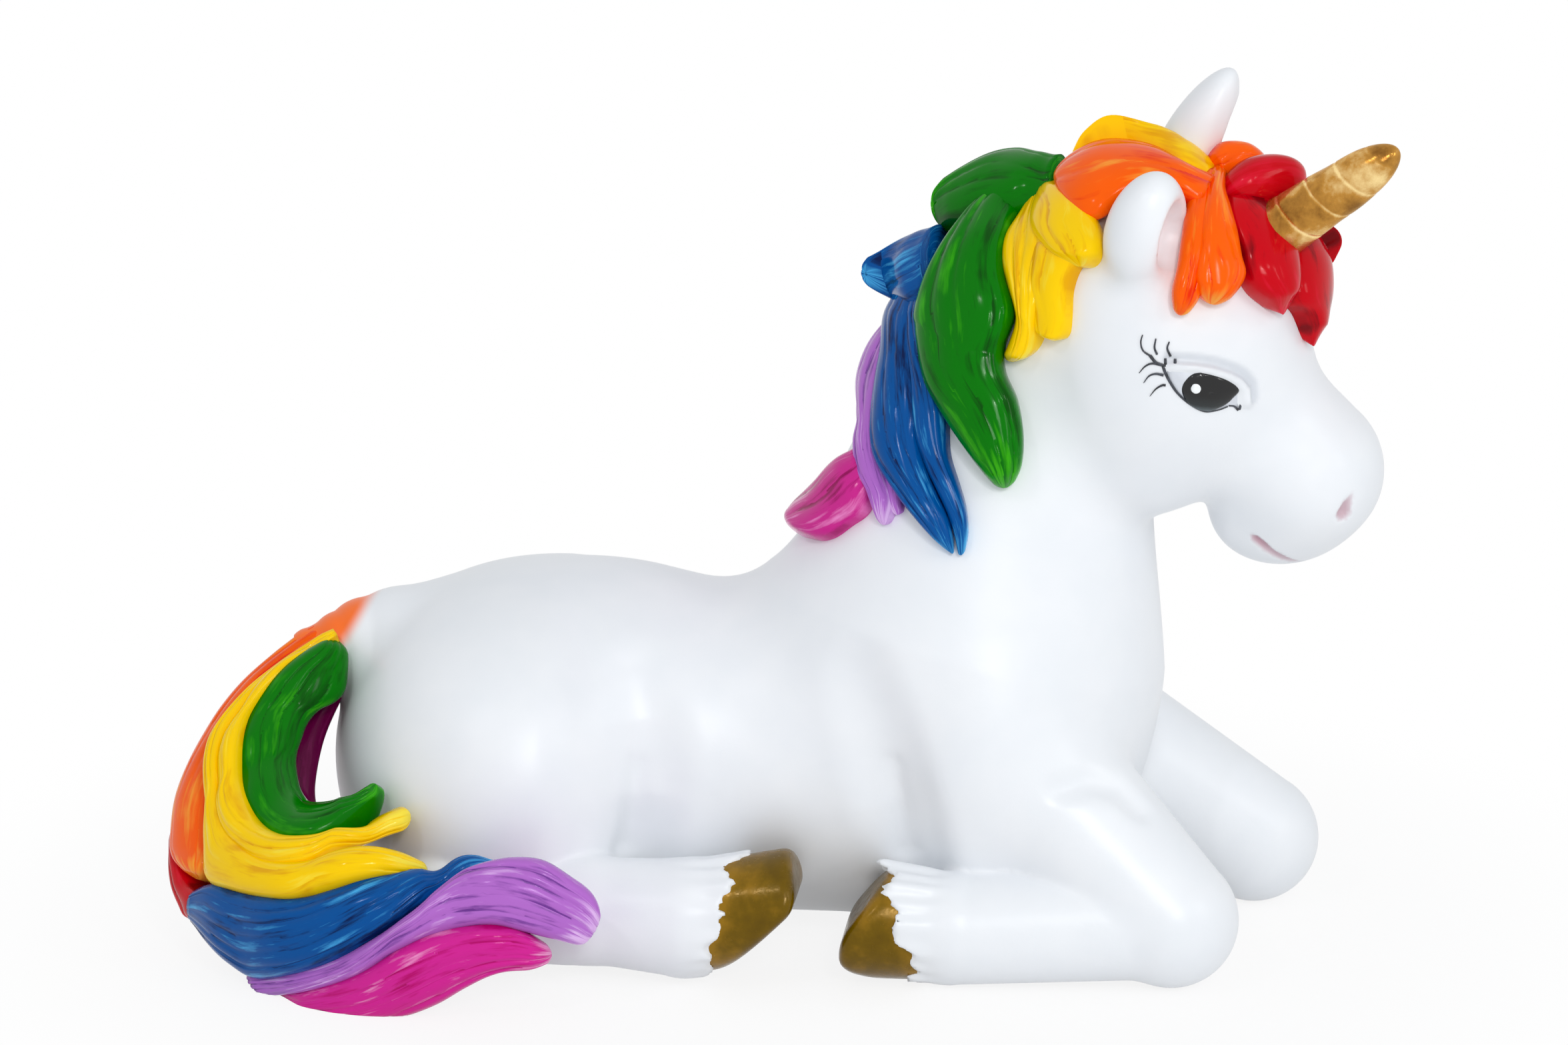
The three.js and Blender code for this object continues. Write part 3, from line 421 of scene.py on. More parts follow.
def hoof_drum(p, coronet, toe_way):
    toe = coronet + toe_way * HOOF_LENGTH
    back = coronet - toe_way * HOOF_BACK
    top_radius, toe_radius = HOOF_HEIGHT * HOOF_TOP_SHARE, HOOF_HEIGHT * HOOF_TOE_SHARE
    return limb(p, back, toe, top_radius, toe_radius, HOOF_WIDTH / HOOF_HEIGHT)


def hoof_field(p, coronet, toe_way, cuts):
    hairline = (coronet - toe_way * HOOF_HAIRLINE - p) @ toe_way
    value = common(HOOF_HAIRLINE_BLEND, hoof_drum(p, coronet, toe_way), hairline)
    for way, reach in cuts:
        value = common(HOOF_CUT_BLEND, value, (p - coronet) @ unit(way) - reach)
    return value


def ragged(p, seed):
    """An uneven edge, in millimetres, from a few sines of the place."""
    x, y, z = p[..., 0], p[..., 1], p[..., 2]
    return (
        0.7 * np.sin(0.9 * y + 1.2 * z + seed)
        + 0.45 * np.sin(2.1 * z - 1.4 * y + 2 * seed)
        + 0.2 * np.sin(4.4 * y + 3.7 * z + x + seed)
    )


def sleeve_field(p, seed, coronet, toe_way, lean):
    """The hair that hangs over a hoof, folded round the leg, with a ragged edge."""
    d = p - coronet.astype(p.dtype)
    turn = np.arctan2(d[..., 2], d[..., 1])
    fold = np.sin(11 * turn + 1.6 * np.sin(3 * turn + seed)) * np.sin(5 * turn + 2 * seed)
    fold_depth = FOLD_DEPTH * fold * smooth((d @ toe_way + SLEEVE_LENGTH) / FOLD_SPAN)
    sleeve = hoof_drum(p, coronet, toe_way) - SLEEVE_THICKNESS - fold_depth
    edge = (p - coronet) @ lean - SLEEVE_OVERHANG + ragged(p, seed)
    back = (coronet - p) @ toe_way - SLEEVE_LENGTH
    return common(SLEEVE_EDGE_BLEND, sleeve, edge, back)


# Ears: height, width, thickness, forward lean of the tip, and how much it slims upwards

EAR_SHAPE = {"right": (9.4, 9.6, 8.4, 0.4, 0.1), "left": (16.0, 10.6, 7.8, 2.4, 0.24)}
EAR_SEAT = {"right": (5, -9, 16.5), "left": (3.2, 10.5, 13.5)}
EAR_ROOT = {s: on_surface(head_field, from_head(EAR_SEAT[s]), -SOCKET_DEPTH) for s in SIDES}
EAR_UP, EAR_FRONT = (0.22, -0.08, 1), (1, -0.2, 0)
EAR_FULLEST = 0.35
EAR_FIELD_SCALE = 0.9
# Shares of the ear's width, thickness and length: the middle and the radii of its leaf and of its hollow
LEAF_MIDDLE, LEAF_RADII = (0, 0, 0.42), (0.5, 0.5, 0.585)
CUP_MIDDLE, CUP_RADII = (0, 0.5, 0.46), (0.3, 0.42, 0.38)


def ear_field(p, side):
    sign = SIDES[side]
    height, width, thickness, lean, slimming = EAR_SHAPE[side]
    up = unit(from_head_way(for_side(sign, EAR_UP)))
    front = unit(from_head_way(for_side(sign, EAR_FRONT)))
    across = unit(np.cross(front, up))
    out = np.cross(up, across)
    d = p - EAR_ROOT[side].astype(p.dtype)
    h = d @ up
    rise = np.clip(h / height, -0.2, 1.2)
    slim = 1.0 + slimming * (EAR_FULLEST - rise)
    q = np.stack([d @ across / slim, (d @ out - lean * rise * np.abs(rise)) / slim, h], -1)
    size = np.array([width, thickness, height + SOCKET_DEPTH])
    leaf = ellipsoid(q, size * LEAF_MIDDLE, size * LEAF_RADII)
    cup = ellipsoid(q, size * CUP_MIDDLE, size * CUP_RADII)
    return carve(EAR_HOLLOW_BLEND, leaf, cup) * EAR_FIELD_SCALE


# Face: places read off the photograph, laid on the head, and mirrored to its hidden side

LID_ROLL = [
    (470, 432), (600, 440), (750, 452), (900, 482), (1050, 535), (1160, 595), (1235, 690), (1240, 800),
]
LID_GROOVE = [
    (430, 395), (560, 398), (720, 408), (900, 436), (1070, 488), (1190, 548), (1285, 660), (1296, 790),
]
NOSTRIL = [(978, 945), (1000, 880), (1040, 800)]
MOUTH = [(245, 1160), (300, 1205), (355, 1260), (430, 1302), (520, 1338), (610, 1350)]
# Each mark: its view and points, its lift over the skin, its radii, how it joins the face and how softly,
# and how far from its middle it is worked
MARKS = {
    "lid": (EYE_VIEW, LID_ROLL, -0.4, np.linspace(0.9, 1.1, len(LID_ROLL)), blend, 0.5, 9),
    "groove": (EYE_VIEW, LID_GROOVE, 0.25, np.full(len(LID_GROOVE), 0.45), carve, 0.6, 9),
    "nostril": (NOSE_VIEW, NOSTRIL, 0.15, (0.85, 0.6, 0.2), carve, 0.5, 5),
    "mouth": (NOSE_VIEW, MOUTH, 0.12, (0.5, 0.5, 0.5, 0.45, 0.35, 0.2), carve, 0.4, 7),
}


def on_face(view, points, side, lift=0.0):
    at = seen_on_skin(view(points), 0.0)
    if side == "left":
        local = to_head(at)
        local[:, 1] *= -1
        at = from_head(local)
    return on_surface(head_field, at, np.full(len(at), lift))


FACE = {s: {name: on_face(*mark[:2], s, mark[2]) for name, mark in MARKS.items()} for s in SIDES}


def with_face(p, f):
    """The lids, nostrils and mouth, worked only near them."""
    for lines in FACE.values():
        for name, (*_, radii, join, softness, reach) in MARKS.items():
            near = np.linalg.norm(p - lines[name].mean(0), axis=-1) < reach
            f[near] = join(softness, f[near], string_field(p[near], lines[name], radii))
    return f


# Creases, read off the photograph: the points, how near the skin they run, and their radii

HAUNCH_CREASE = ([(957, 1150), (955, 1200), (950, 1235), (941, 1268)], 0.5, (0.02, 0.2, 0.5, 0.7))
SHOULDER_CREASE = ([(1338, 1150), (1346, 1200), (1352, 1235), (1358, 1275)], 0.5, (0.02, 0.15, 0.35, 0.5))
FOREARM_CREASE = ([(1592, 1184), (1640, 1172), (1680, 1182), (1712, 1212)], 0.4, (0.3, 0.7, 0.8, 0.5))
CREASE_REACH = 16


def crease(marks, side):
    points, lift, radii = marks
    return seen_on(bare_field, BODY_DEPTHS, points, lift) * (1, SIDES[side], 1), radii


CREASES = []
for side in SIDES:
    CREASES.append(crease(HAUNCH_CREASE, side))
    CREASES.append(crease(SHOULDER_CREASE, side))
CREASES.append(crease(FOREARM_CREASE, "right"))


def with_creases(p, f):
    for points, radii in CREASES:
        near = np.linalg.norm(p - points.mean(0), axis=-1) < CREASE_REACH
        f[near] = carve(CREASE_CUT_BLEND, f[near], string_field(p[near], points, radii))
    return f


# The stump that the tail grows out of, under the line where the rump's outline runs into the tail's

STUMP_LINE = [(640, 968), (592, 958), (552, 962), (517, 968), (466, 974)]
STUMP_DEPTHS = (1, 0, -0.8, -1.8, -3)
STUMP_RADII = (5.6, 5.5, 4.9, 3.9, 2.4)
TAIL_STUMP = seen_at(STUMP_LINE, STUMP_DEPTHS)


def white_field(p):
    f = with_lower_legs(p, with_creases(p, bare_field(p)))
    for seed, (coronet, toe_way, lean, _) in enumerate(HOOVES.values()):
        f = blend(SLEEVE_BLEND, f, sleeve_field(p, seed, coronet, toe_way, lean))
    f = blend(STUMP_BLEND, f, string_field(p, TAIL_STUMP, STUMP_RADII))
    f = blend(NAPE_BLEND, f, head_field(p))
    for s in SIDES:
        f = blend(EAR_BLEND, f, ear_field(p, s))
    return np.maximum(with_face(p, f), -p[..., 2])


# Field to mesh: sparse blocks of samples, one vertex in each crossed cell, then pulled on to the surface

CELL = 0.4
BLOCK = 8
CHUNK = 200_000
# Blocks are sampled in full where their middle lies within this many block widths of the surface
NEAR_BLOCKS = 1.3
FAR = 9
PULLS, PULL_LIMIT, FLATTEST = 3, 0.3, 0.3


def sampled(field, points):
    out = np.empty(len(points), np.float32)
    for i in range(0, len(points), CHUNK):
        out[i : i + CHUNK] = field(points[i : i + CHUNK])
    return out


def grid_points(*counts):
    return np.stack(np.meshgrid(*[np.arange(n) for n in counts], indexing="ij"), -1).reshape(-1, 3)


def field_mesh(field, low, high):
    low = np.asarray(low, np.float32)
    blocks = np.ceil((np.asarray(high) - low) / (CELL * BLOCK)).astype(int)
    index = grid_points(*blocks)
    middle = low + (index * BLOCK + (BLOCK - 1) / 2).astype(np.float32) * CELL
    coarse = sampled(field, middle)
    values = np.empty(blocks * BLOCK, np.float32)
    grid = values.reshape(blocks[0], BLOCK, blocks[1], BLOCK, blocks[2], BLOCK)
    grid[...] = np.where(coarse < 0, -FAR, FAR).reshape(blocks[0], 1, blocks[1], 1, blocks[2], 1)
    near = index[np.abs(coarse) < CELL * BLOCK * NEAR_BLOCKS]
    nodes = (near[:, None] * BLOCK + grid_points(BLOCK, BLOCK, BLOCK)).reshape(-1, 3)
    values[tuple(nodes.T)] = sampled(field, low + nodes.astype(np.float32) * CELL)
    vertices, quads = surface_nets(values)
    vertices = (low + vertices * CELL).astype(np.float64)
    for _ in range(PULLS):
        slope = gradient(field, vertices)
        step = sampled(field, vertices) / np.maximum((slope * slope).sum(-1), FLATTEST)
        vertices -= slope * np.clip(step, -PULL_LIMIT * CELL, PULL_LIMIT * CELL)[:, None]
    return vertices, quads.tolist()


def surface_nets(values):
    inside = values < 0
    corners = grid_points(2, 2, 2)
    size = np.array(values.shape) - 1
    count = np.zeros(size, np.int8)
    for i, j, k in corners:
        count += inside[i : size[0] + i, j : size[1] + j, k : size[2] + k]
    active = (count > 0) & (count < 8)
    cells = np.argwhere(active)
    number = np.full(size, -1, np.int64)
    number[active] = np.arange(len(cells))
    at = [values[tuple((cells + c).T)] for c in corners]
    place = np.zeros((len(cells), 3))
    hits = np.zeros(len(cells))
    for a in range(8):
        for b in range(a + 1, 8):
            if np.abs(corners[a] - corners[b]).sum() != 1:
                continue
            crossed = (at[a] < 0) != (at[b] < 0)
            t = at[a][crossed] / (at[a][crossed] - at[b][crossed])
            place[crossed] += corners[a] + t[:, None] * (corners[b] - corners[a])
            hits[crossed] += 1
    quads = []
    for axis in range(3):
        u, v = (axis + 1) % 3, (axis + 2) % 3
        first = np.moveaxis(inside, axis, 0)
        change = np.moveaxis(first[:-1] != first[1:], 0, axis)
        edges = np.argwhere(change)
        edges = edges[(edges[:, u] > 0) & (edges[:, v] > 0)]
        edges = edges[(edges[:, u] < size[u]) & (edges[:, v] < size[v])]
        ring = []
        for du, dv in ((1, 1), (0, 1), (0, 0), (1, 0)):
            cell = edges.copy()
            cell[:, u] -= du
            cell[:, v] -= dv
            ring.append(number[tuple(cell.T)])
        ring = np.stack(ring, -1)
        outward = inside[tuple(edges.T)]
        quads.append(np.where(outward[:, None], ring, ring[:, ::-1]))
    return cells + place / hits[:, None], np.concatenate(quads)


# Meshes

def new_object(name, vertices, faces, attributes):
    mesh = bpy.data.meshes.new(name)
    mesh.from_pydata((np.asarray(vertices) * MM).tolist(), [], faces)
    mesh.polygons.foreach_set("use_smooth", [True] * len(mesh.polygons))
    for key, data in attributes.items():
        layer = mesh.attributes.new(key, "FLOAT", "POINT")
        layer.data.foreach_set("value", np.asarray(data, np.float32))
    mesh.update()
    thing = bpy.data.objects.new(name, mesh)
    bpy.context.collection.objects.link(thing)
    return thing


def ring_faces(rings, sides):
    """Quads between rings of vertices, with a fan to the pole at each end."""
    last = 1 + rings * sides
    end = last - sides
    faces = []
    for j in range(sides):
        k = (j + 1) % sides
        faces.append((0, 1 + k, 1 + j))
        for a in range(1, end, sides):
            b = a + sides
            faces.append((a + j, a + k, b + k, b + j))
        faces.append((last, end + j, end + k))
    return faces


def with_poles(rings):
    """The vertices of rings, with the middles of the first and the last as poles."""
    return np.concatenate([[rings[0].mean(0)], rings.reshape(-1, 3), [rings[-1].mean(0)]])


def facing_out(vertices, faces):
    triangles = np.array([(f[0], f[i], f[i + 1]) for f in faces for i in range(1, len(f) - 1)])
    a, b, c = (np.asarray(vertices)[triangles[:, k]] for k in range(3))
    if (a * np.cross(b, c)).sum() < 0:
        return [tuple(reversed(f)) for f in faces]
    return faces


def shifted(faces, count):
    return [tuple(i + count for i in f) for f in faces]


# Curves

SPAN_STEPS = 60
FINE_STEPS = 400


def spline(points, count):
    """Evenly spaced points along a Catmull-Rom curve, their tangents, and the curve's length."""
    points = np.asarray(points, float)
    ends = np.concatenate([[2 * points[0] - points[1]], points, [2 * points[-1] - points[-2]]])
    t = np.linspace(0, 1, SPAN_STEPS, endpoint=False)[:, None]
    dense = []
    for i in range(len(points) - 1):
        a, b, c, d = ends[i : i + 4]
        dense.append(
            0.5 * (2 * b + (c - a) * t + (2 * a - 5 * b + 4 * c - d) * t**2 + (3 * b - a - 3 * c + d) * t**3)
        )
    dense = np.concatenate(dense + [points[-1:]])
    reach = np.concatenate([[0], np.cumsum(np.linalg.norm(np.diff(dense, axis=0), axis=1))])
    want = np.linspace(0, reach[-1], count)
    at = np.stack([np.interp(want, reach, dense[:, k]) for k in range(3)], -1)
    way = unit(np.gradient(at, axis=0))
    return at, way, reach[-1]


def along_spline(points, shares):
    at, _, _ = spline(points, FINE_STEPS)
    even = np.linspace(0, 1, len(at))
    return np.stack([np.interp(shares, even, at[:, k]) for k in range(3)], -1)


# Locks: a bundle of strands between two edges

TOP_STEPS = 56
UNDER_STEPS = 14
STATION, FEWEST_STATIONS = 0.4, 32
TIP_CROWDING = 1.5
STRAND_WIDTHS = (0.6, 1.4)
SWAY_SIZE, SWAY_TURNS = 0.06, (0.6, 1.1, 1.9)
CROWN_POWER, CROWN_LEVEL, STRAND_LIFT = 2.3, 0.75, 0.4
DEPTH_TURNS = 1.1
SWELL_SIZE, SWELL_TURNS = 0.2, 0.9
BULGE_POWER = 0.7
EDGE_SOFTNESS = 1.5
ROOT_SHARE, TIP_SHARE = 0.18, 0.14
LOBE = {"front": 2.4, "back": 3.0, "strands": 3, "groove": 0.24, "root": 0.7, "tip_round": 1.0}


def strand_layout(rng, count):
    widths = rng.uniform(*STRAND_WIDTHS, count)
    return np.concatenate([[0], np.cumsum(widths) / widths.sum()])


def strand_relief(rng, s, v, strands, groove):
    """Where each point lies across the strands, their heights and hollows, and the relief they make."""
    bounds = strand_layout(rng, strands)
    sway = sum(
        rng.uniform(0.3, 1) * SWAY_SIZE * np.sin(2 * math.pi * (s * turns + rng.random() + 0.4 * v))
        for turns in SWAY_TURNS
    )
    w = np.clip(v + sway * np.sin(math.pi * v), 0, 1)
    which = np.clip(np.searchsorted(bounds, w, side="right") - 1, 0, strands - 1)
    inner = (w - bounds[which]) / (bounds[which + 1] - bounds[which])
    crown = 1 - np.abs(2 * inner - 1) ** CROWN_POWER
    heights = rng.uniform(-0.5, 0.5, strands)[which]
    phase = rng.uniform(0, 2 * math.pi, strands)[which]
    depth = 0.5 + 0.5 * np.sin(2 * math.pi * DEPTH_TURNS * s + phase)
    swell = np.sin(2 * math.pi * (SWELL_TURNS * s + 0.5 * v) + rng.uniform(0, 6))
    relief = groove * (crown - CROWN_LEVEL + STRAND_LIFT * heights) * depth + SWELL_SIZE * swell
    return w, heights, (1 - crown) * depth, relief


def lobe_mesh(left, right, faces, rng, base, front, back, strands, groove, root, tip_round):
    """One lobe of a lock: vertices, faces and paint attributes."""
    length = (spline(left, 8)[2] + spline(right, 8)[2]) / 2
    stations = max(FEWEST_STATIONS, int(length / STATION))
    s = 1 - (1 - np.linspace(0, 1, stations)) ** TIP_CROWDING
    a, b = along_spline(left, s), along_spline(right, s)
    blunt = np.linalg.norm(b[-1] - a[-1]) / 2
    late = np.clip(1 + (s - 1) * length / max(blunt, STATION), 0, 1)[:, None]
    middle = (a + b) / 2
    a, b = (mix(middle, edge, np.sqrt(1 - 0.97 * late**2)) for edge in (a, b))
    theta = np.linspace(0, math.pi, TOP_STEPS)
    v = (1 - np.cos(theta)) / 2
    w, heights, hollow, relief = strand_relief(rng, s[:, None], v[None], strands, groove)
    floor = mix(a[:, None], b[:, None], v[None, :, None])
    if base is not None:
        floor = base(a, b, floor, v)
    half = np.linalg.norm(b - a, axis=1)[:, None] / 2
    end = np.clip((s - 1) / (tip_round * front / length) + 1, 0, 1)
    taper = (np.sqrt(np.clip(1 - end**2, 0, 1)) * mix(root, 1, smooth(s / ROOT_SHARE)))[:, None]
    thick = np.minimum(front, half * 1.1 + 0.2) * taper
    out = faces(floor, a, b)
    arch = np.sin(theta)[None]
    edge_soft = np.minimum(1, arch * 2) * np.minimum(1, half / EDGE_SOFTNESS)
    top = floor + out * (arch**BULGE_POWER * thick + relief * edge_soft * taper)[..., None]
    pick = np.linspace(TOP_STEPS - 2, 1, UNDER_STEPS).round().astype(int)
    under_depth = arch[:, pick] ** BULGE_POWER * np.minimum(back, half * 2 + 0.3) * taper
    under = floor[:, pick] - out[:, pick] * under_depth[..., None]
    rings = np.concatenate([top, under], 1)
    vertices = with_poles(rings)
    width = np.linalg.norm(b - a, axis=1).mean()

    def per_vertex(values, last=0.0):
        values = np.broadcast_to(values, w.shape)
        full = np.concatenate([values, values[:, pick]], 1).ravel()
        return np.concatenate([[0.0], full, [last]])

    attributes = {
        "along": per_vertex(s[:, None] * length, length),
        "across": per_vertex(w * width + rng.uniform(0, 50)),
        # How deep in a strand's groove, which the hair paint darkens as painted shade
        "hollow": per_vertex(hollow),
        "strand": per_vertex(heights + 0.5),
        "tip": per_vertex(smooth((s[:, None] - 1 + TIP_SHARE) / TIP_SHARE), 1),
    }
    return vertices, facing_out(vertices, ring_faces(stations, rings.shape[1])), attributes


def lock_object(name, colour, lobes, faces, seed, base=None):
    """A lock of several lobes: each is left and right edge points and its own settings."""
    rng = np.random.default_rng(seed)
    vertices, polygons, attributes = [], [], {}
    for left, right, settings in lobes:
        points, rings, paint = lobe_mesh(left, right, faces, rng, base, **{**LOBE, **settings})
        points[:, 2] = np.maximum(points[:, 2], FLOOR_GAP)
        polygons += shifted(rings, len(vertices))
        vertices.extend(points)
        for key, values in paint.items():
            attributes.setdefault(key, []).extend(values)
    piece = new_object(name + "_hair", vertices, polygons, attributes)
    piece.data.materials.append(PAINT[colour])
    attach(piece, "root")
    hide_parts(name)


# Paints

def linear(rgb):
    c = np.asarray(rgb, float) / 255
    return tuple(np.where(c <= 0.04045, c / 12.92, ((c + 0.055) / 1.055) ** 2.4)) + (1.0,)


class Nodes:
    """The node tree of a material or a world, built by short calls."""

    def __init__(self, owner):
        owner.use_nodes = True
        self.owner = owner
        self.tree = owner.node_tree
        self.shader = self.tree.nodes.get("Principled BSDF")

    def add(self, kind, **settings):
        node = self.tree.nodes.new(kind)
        for key, value in settings.items():
            setattr(node, key, value)
        return node

    def feed(self, socket, value):
        if hasattr(value, "is_output"):
            self.tree.links.new(value, socket)
        else:
            socket.default_value = value

    def put(self, node, **values):
        for key, value in values.items():
            self.feed(node.inputs[key.replace("_", " ")], value)

    def math(self, operation, a, b, clamp=False):
        node = self.add("ShaderNodeMath", operation=operation, use_clamp=clamp)
        self.feed(node.inputs[0], a)
        self.feed(node.inputs[1], b)
        return node.outputs[0]

    def plus(self, a, b):
        return self.math("ADD", a, b)

    def minus(self, a, b):
        return self.math("SUBTRACT", a, b)

    def times(self, a, b):
        return self.math("MULTIPLY", a, b)

    def attribute(self, name):
        return self.add("ShaderNodeAttribute", attribute_name=name).outputs["Fac"]

    def vector(self, x, y, z):
        node = self.add("ShaderNodeCombineXYZ")
        self.put(node, X=x, Y=y, Z=z)
        return node.outputs[0]

    def place(self):
        return self.add("ShaderNodeTexCoord").outputs["Object"]

    def noise(self, vector, scale, detail=4.0, rough=0.55):
        node = self.add("ShaderNodeTexNoise")
        self.put(node, Vector=vector, Scale=scale, Detail=detail, Roughness=rough)
        return node.outputs["Fac"]

    def ramp(self, value, *stops):
        node = self.add("ShaderNodeValToRGB")
        self.put(node, Fac=value)
        points = node.color_ramp.elements
        while len(points) < len(stops):
            points.new(0.5)
        for point, (at, rgb) in zip(points, stops):
            point.position = at
            point.color = linear(rgb)
        return node.outputs["Color"]

    def blend(self, amount, under, rgb):
        node = self.add("ShaderNodeMix", data_type="RGBA")
        self.put(node, Factor=amount, A=under, B=linear(rgb))
        return node.outputs["Result"]

    def span(self, value, low, high, out_low=0.0, out_high=1.0):
        node = self.add("ShaderNodeMapRange", interpolation_type="SMOOTHSTEP")
        self.put(node, Value=value, From_Min=low, From_Max=high, To_Min=out_low, To_Max=out_high)
        return node.outputs["Result"]

    def bump(self, height, strength, distance):
        node = self.add("ShaderNodeBump")
        self.put(node, Height=height, Strength=strength, Distance=distance)
        self.set(Normal=node.outputs["Normal"])

    def set(self, **values):
        self.put(self.shader, **values)

    def glow(self, kind):
        node = self.add(kind)
        self.put(node, Color=(1, 1, 1, 1), Strength=1.0)
        return node.outputs[0]

    def seen(self):
        """One for rays that start at the camera, come off a gloss or pass through something."""
        rays = self.add("ShaderNodeLightPath").outputs
        seen = self.math("ADD", rays["Is Camera Ray"], rays["Is Glossy Ray"], clamp=True)
        return self.math("ADD", seen, rays["Is Transmission Ray"], clamp=True)

    def show(self, output, share, first, second):
        """Mix two shaders into the output, with this share of the second."""
        both = self.add("ShaderNodeMixShader")
        for socket, value in zip(both.inputs, (share, first, second)):
            self.feed(socket, value)
        self.put(self.tree.nodes[output], Surface=both.outputs[0])


def new_material(name):
    return Nodes(bpy.data.materials.new(name))


def tinted(rgb, white):
    """A gloss colour: some white, and the rest in the paint's own colour."""
    return tuple(white + (1 - white) * c for c in linear(rgb)[:3]) + (1.0,)


# Hair paints: dark, main and light tones, and the share of fine streaks

HAIR_TONES = {
    "red": ((124, 0, 12), (200, 0, 20), (220, 24, 52), 0.4),
    "orange": ((236, 44, 0), (255, 96, 0), (255, 160, 50), 0.35),
    "yellow": ((236, 172, 0), (255, 208, 0), (255, 230, 70), 0.45),
    "green": ((0, 76, 0), (0, 116, 0), (56, 172, 10), 0.4),
    "blue": ((0, 26, 76), (0, 80, 152), (70, 168, 224), 0.65),
    "purple": ((114, 58, 148), (180, 108, 202), (228, 186, 240), 0.6),
    "magenta": ((150, 0, 88), (206, 40, 142), (238, 136, 200), 0.55),
    "pink": ((186, 0, 108), (212, 36, 148), (242, 160, 208), 0.6),
    "maroon": ((70, 0, 44), (108, 0, 68), (140, 30, 96), 0.5),
}
# Painted shade in the strand grooves, and lighter paint at the tips
GROOVE_PAINTED_SHADE, TIP_LIGHT = 0.14, 0.14
BROAD_STRETCH, FINE_STRETCH, FINE_ACROSS = 0.3, 0.14, 2.0


def hair_paint(name, deep, main, light, streaks):
    """Brushed gloss paint: long streaks in three tones, with painted shade in the grooves, and lighter at
    the tips.
    """
    n = new_material(name)
    along, across = n.attribute("along"), n.attribute("across")
    seed = n.times(n.attribute("strand"), 7.0)
    broad = n.noise(n.vector(n.times(along, BROAD_STRETCH), across, seed), 0.42, 3.0, 0.5)
    fine_place = n.vector(n.times(along, FINE_STRETCH), n.times(across, FINE_ACROSS), seed)
    fine = n.noise(fine_place, 1.0, 5.0, 0.6)
    streak = n.plus(n.times(broad, 1 - streaks), n.times(fine, streaks))
    # Painted shade: darker in the strand grooves, by the hollow attribute
    shade = n.minus(streak, n.times(n.math("POWER", n.attribute("hollow"), 2.0), GROOVE_PAINTED_SHADE))
    shade = n.plus(shade, n.times(n.attribute("tip"), TIP_LIGHT))
    n.set(
        Base_Color=n.ramp(shade, (0.36, deep), (0.46, main), (0.55, main), (0.67, light)),
        Roughness=n.span(fine, 0.3, 0.7, 0.1, 0.17),
        Specular_IOR_Level=0.2,
        Specular_Tint=tinted(main, 0.5),
    )
    n.bump(fine, 0.04, 0.0003)
    return n.owner


PAINT = {colour: hair_paint(colour + "_paint", *tones) for colour, tones in HAIR_TONES.items()}


def white_paint():
    """White, orange where the tail starts, painted shade in grey along the creases and the lid groove, mauve
    in the nostrils and mouth.
    """
    n = new_material("white_paint")
    place = n.place()
    mottle = n.noise(place, 140.0, 2.0)
    grain = n.noise(place, 900.0, 3.0)
    white = n.ramp(mottle, (0.25, (236, 239, 243)), (0.75, (241, 243, 246)))
    ragged_fade = n.plus(n.attribute("tail_fade"), n.times(n.minus(mottle, 0.5), 0.2))
    with_tail = n.blend(n.span(ragged_fade, 0.1, 0.9), white, (255, 112, 16))
    # Painted shade: grey mixed into the white along the creases and the lid groove
    with_painted_shade = n.blend(n.times(n.attribute("painted_shade"), 0.55), with_tail, (186, 192, 202))
    n.set(
        Base_Color=n.blend(n.attribute("mauve"), with_painted_shade, (178, 104, 126)),
        Roughness=n.span(mottle, 0.2, 0.8, 0.34, 0.38),
        Specular_IOR_Level=0.45,
    )
    n.bump(grain, 0.06, 0.0003)
    return n.owner


def metal_paint(name, deep, main, light, scale, metallic):
    n = new_material(name)
    place = n.place()
    brushed = n.noise(place, scale, 5.0, 0.6)
    fine = n.noise(place, scale * 6, 3.0)
    # The hollow attribute shifts the tone: lighter at the hooves' hairline rim, and on the horn a painted
    # highlight along the rings and darker towards the foot
    shade = n.minus(brushed, n.times(n.attribute("hollow"), 0.22))
    n.set(
        Base_Color=n.ramp(shade, (0.3, deep), (0.5, main), (0.68, light)),
        Roughness=n.span(fine, 0.3, 0.7, 0.17, 0.28),
        Metallic=metallic,
        Specular_Tint=tinted(light, 0.3),
    )
    n.bump(brushed, 0.3, 0.0004)
    return n.owner


def plain_paint(name, scale, roughness, *stops):
    """A paint whose tone wanders a little."""
    n = new_material(name)
    n.set(Base_Color=n.ramp(n.noise(n.place(), scale, 3.0), *stops), Roughness=roughness)
    return n.owner


def ink_paint():
    """The iris: black, and greyer towards its foot."""
    n = new_material("black_paint")
    haze = n.noise(n.place(), 700.0, 3.0)
    level = n.plus(n.attribute("drop"), n.times(n.minus(haze, 0.5), 0.12))
    tone = n.ramp(level, (0.55, (3, 3, 5)), (0.8, (24, 32, 34)), (1.0, (96, 108, 112)))
    n.set(Base_Color=tone, Roughness=0.12)
    return n.owner


# White casting

LOW, HIGH = (-54, -32, -1), (68, 32, 98)
TAIL_FADE = seen_at([(574, 880), (520, 975)], (0, -6))
FADE_WIDTH, FADE_SHIFT, FADE_LOW_Z, FADE_RISE = 3.2, 0.3, 22, 3
MAUVE_RADII = {"nostril": (0.8, 0.55, 0.15), "mouth": (0.5, 0.5, 0.45, 0.4, 0.3, 0.1)}
MAUVE_REACH, MAUVE_WIDTH = 0.3, 0.45
# Painted shade along the creases and the lid groove: strength, reach and width in millimetres
CREASE_PAINTED_SHADE, CREASE_SHADE_REACH = 0.5, 0.6
LID_SHADE_REACH, LID_SHADE_WIDTH = 1.0, 0.7


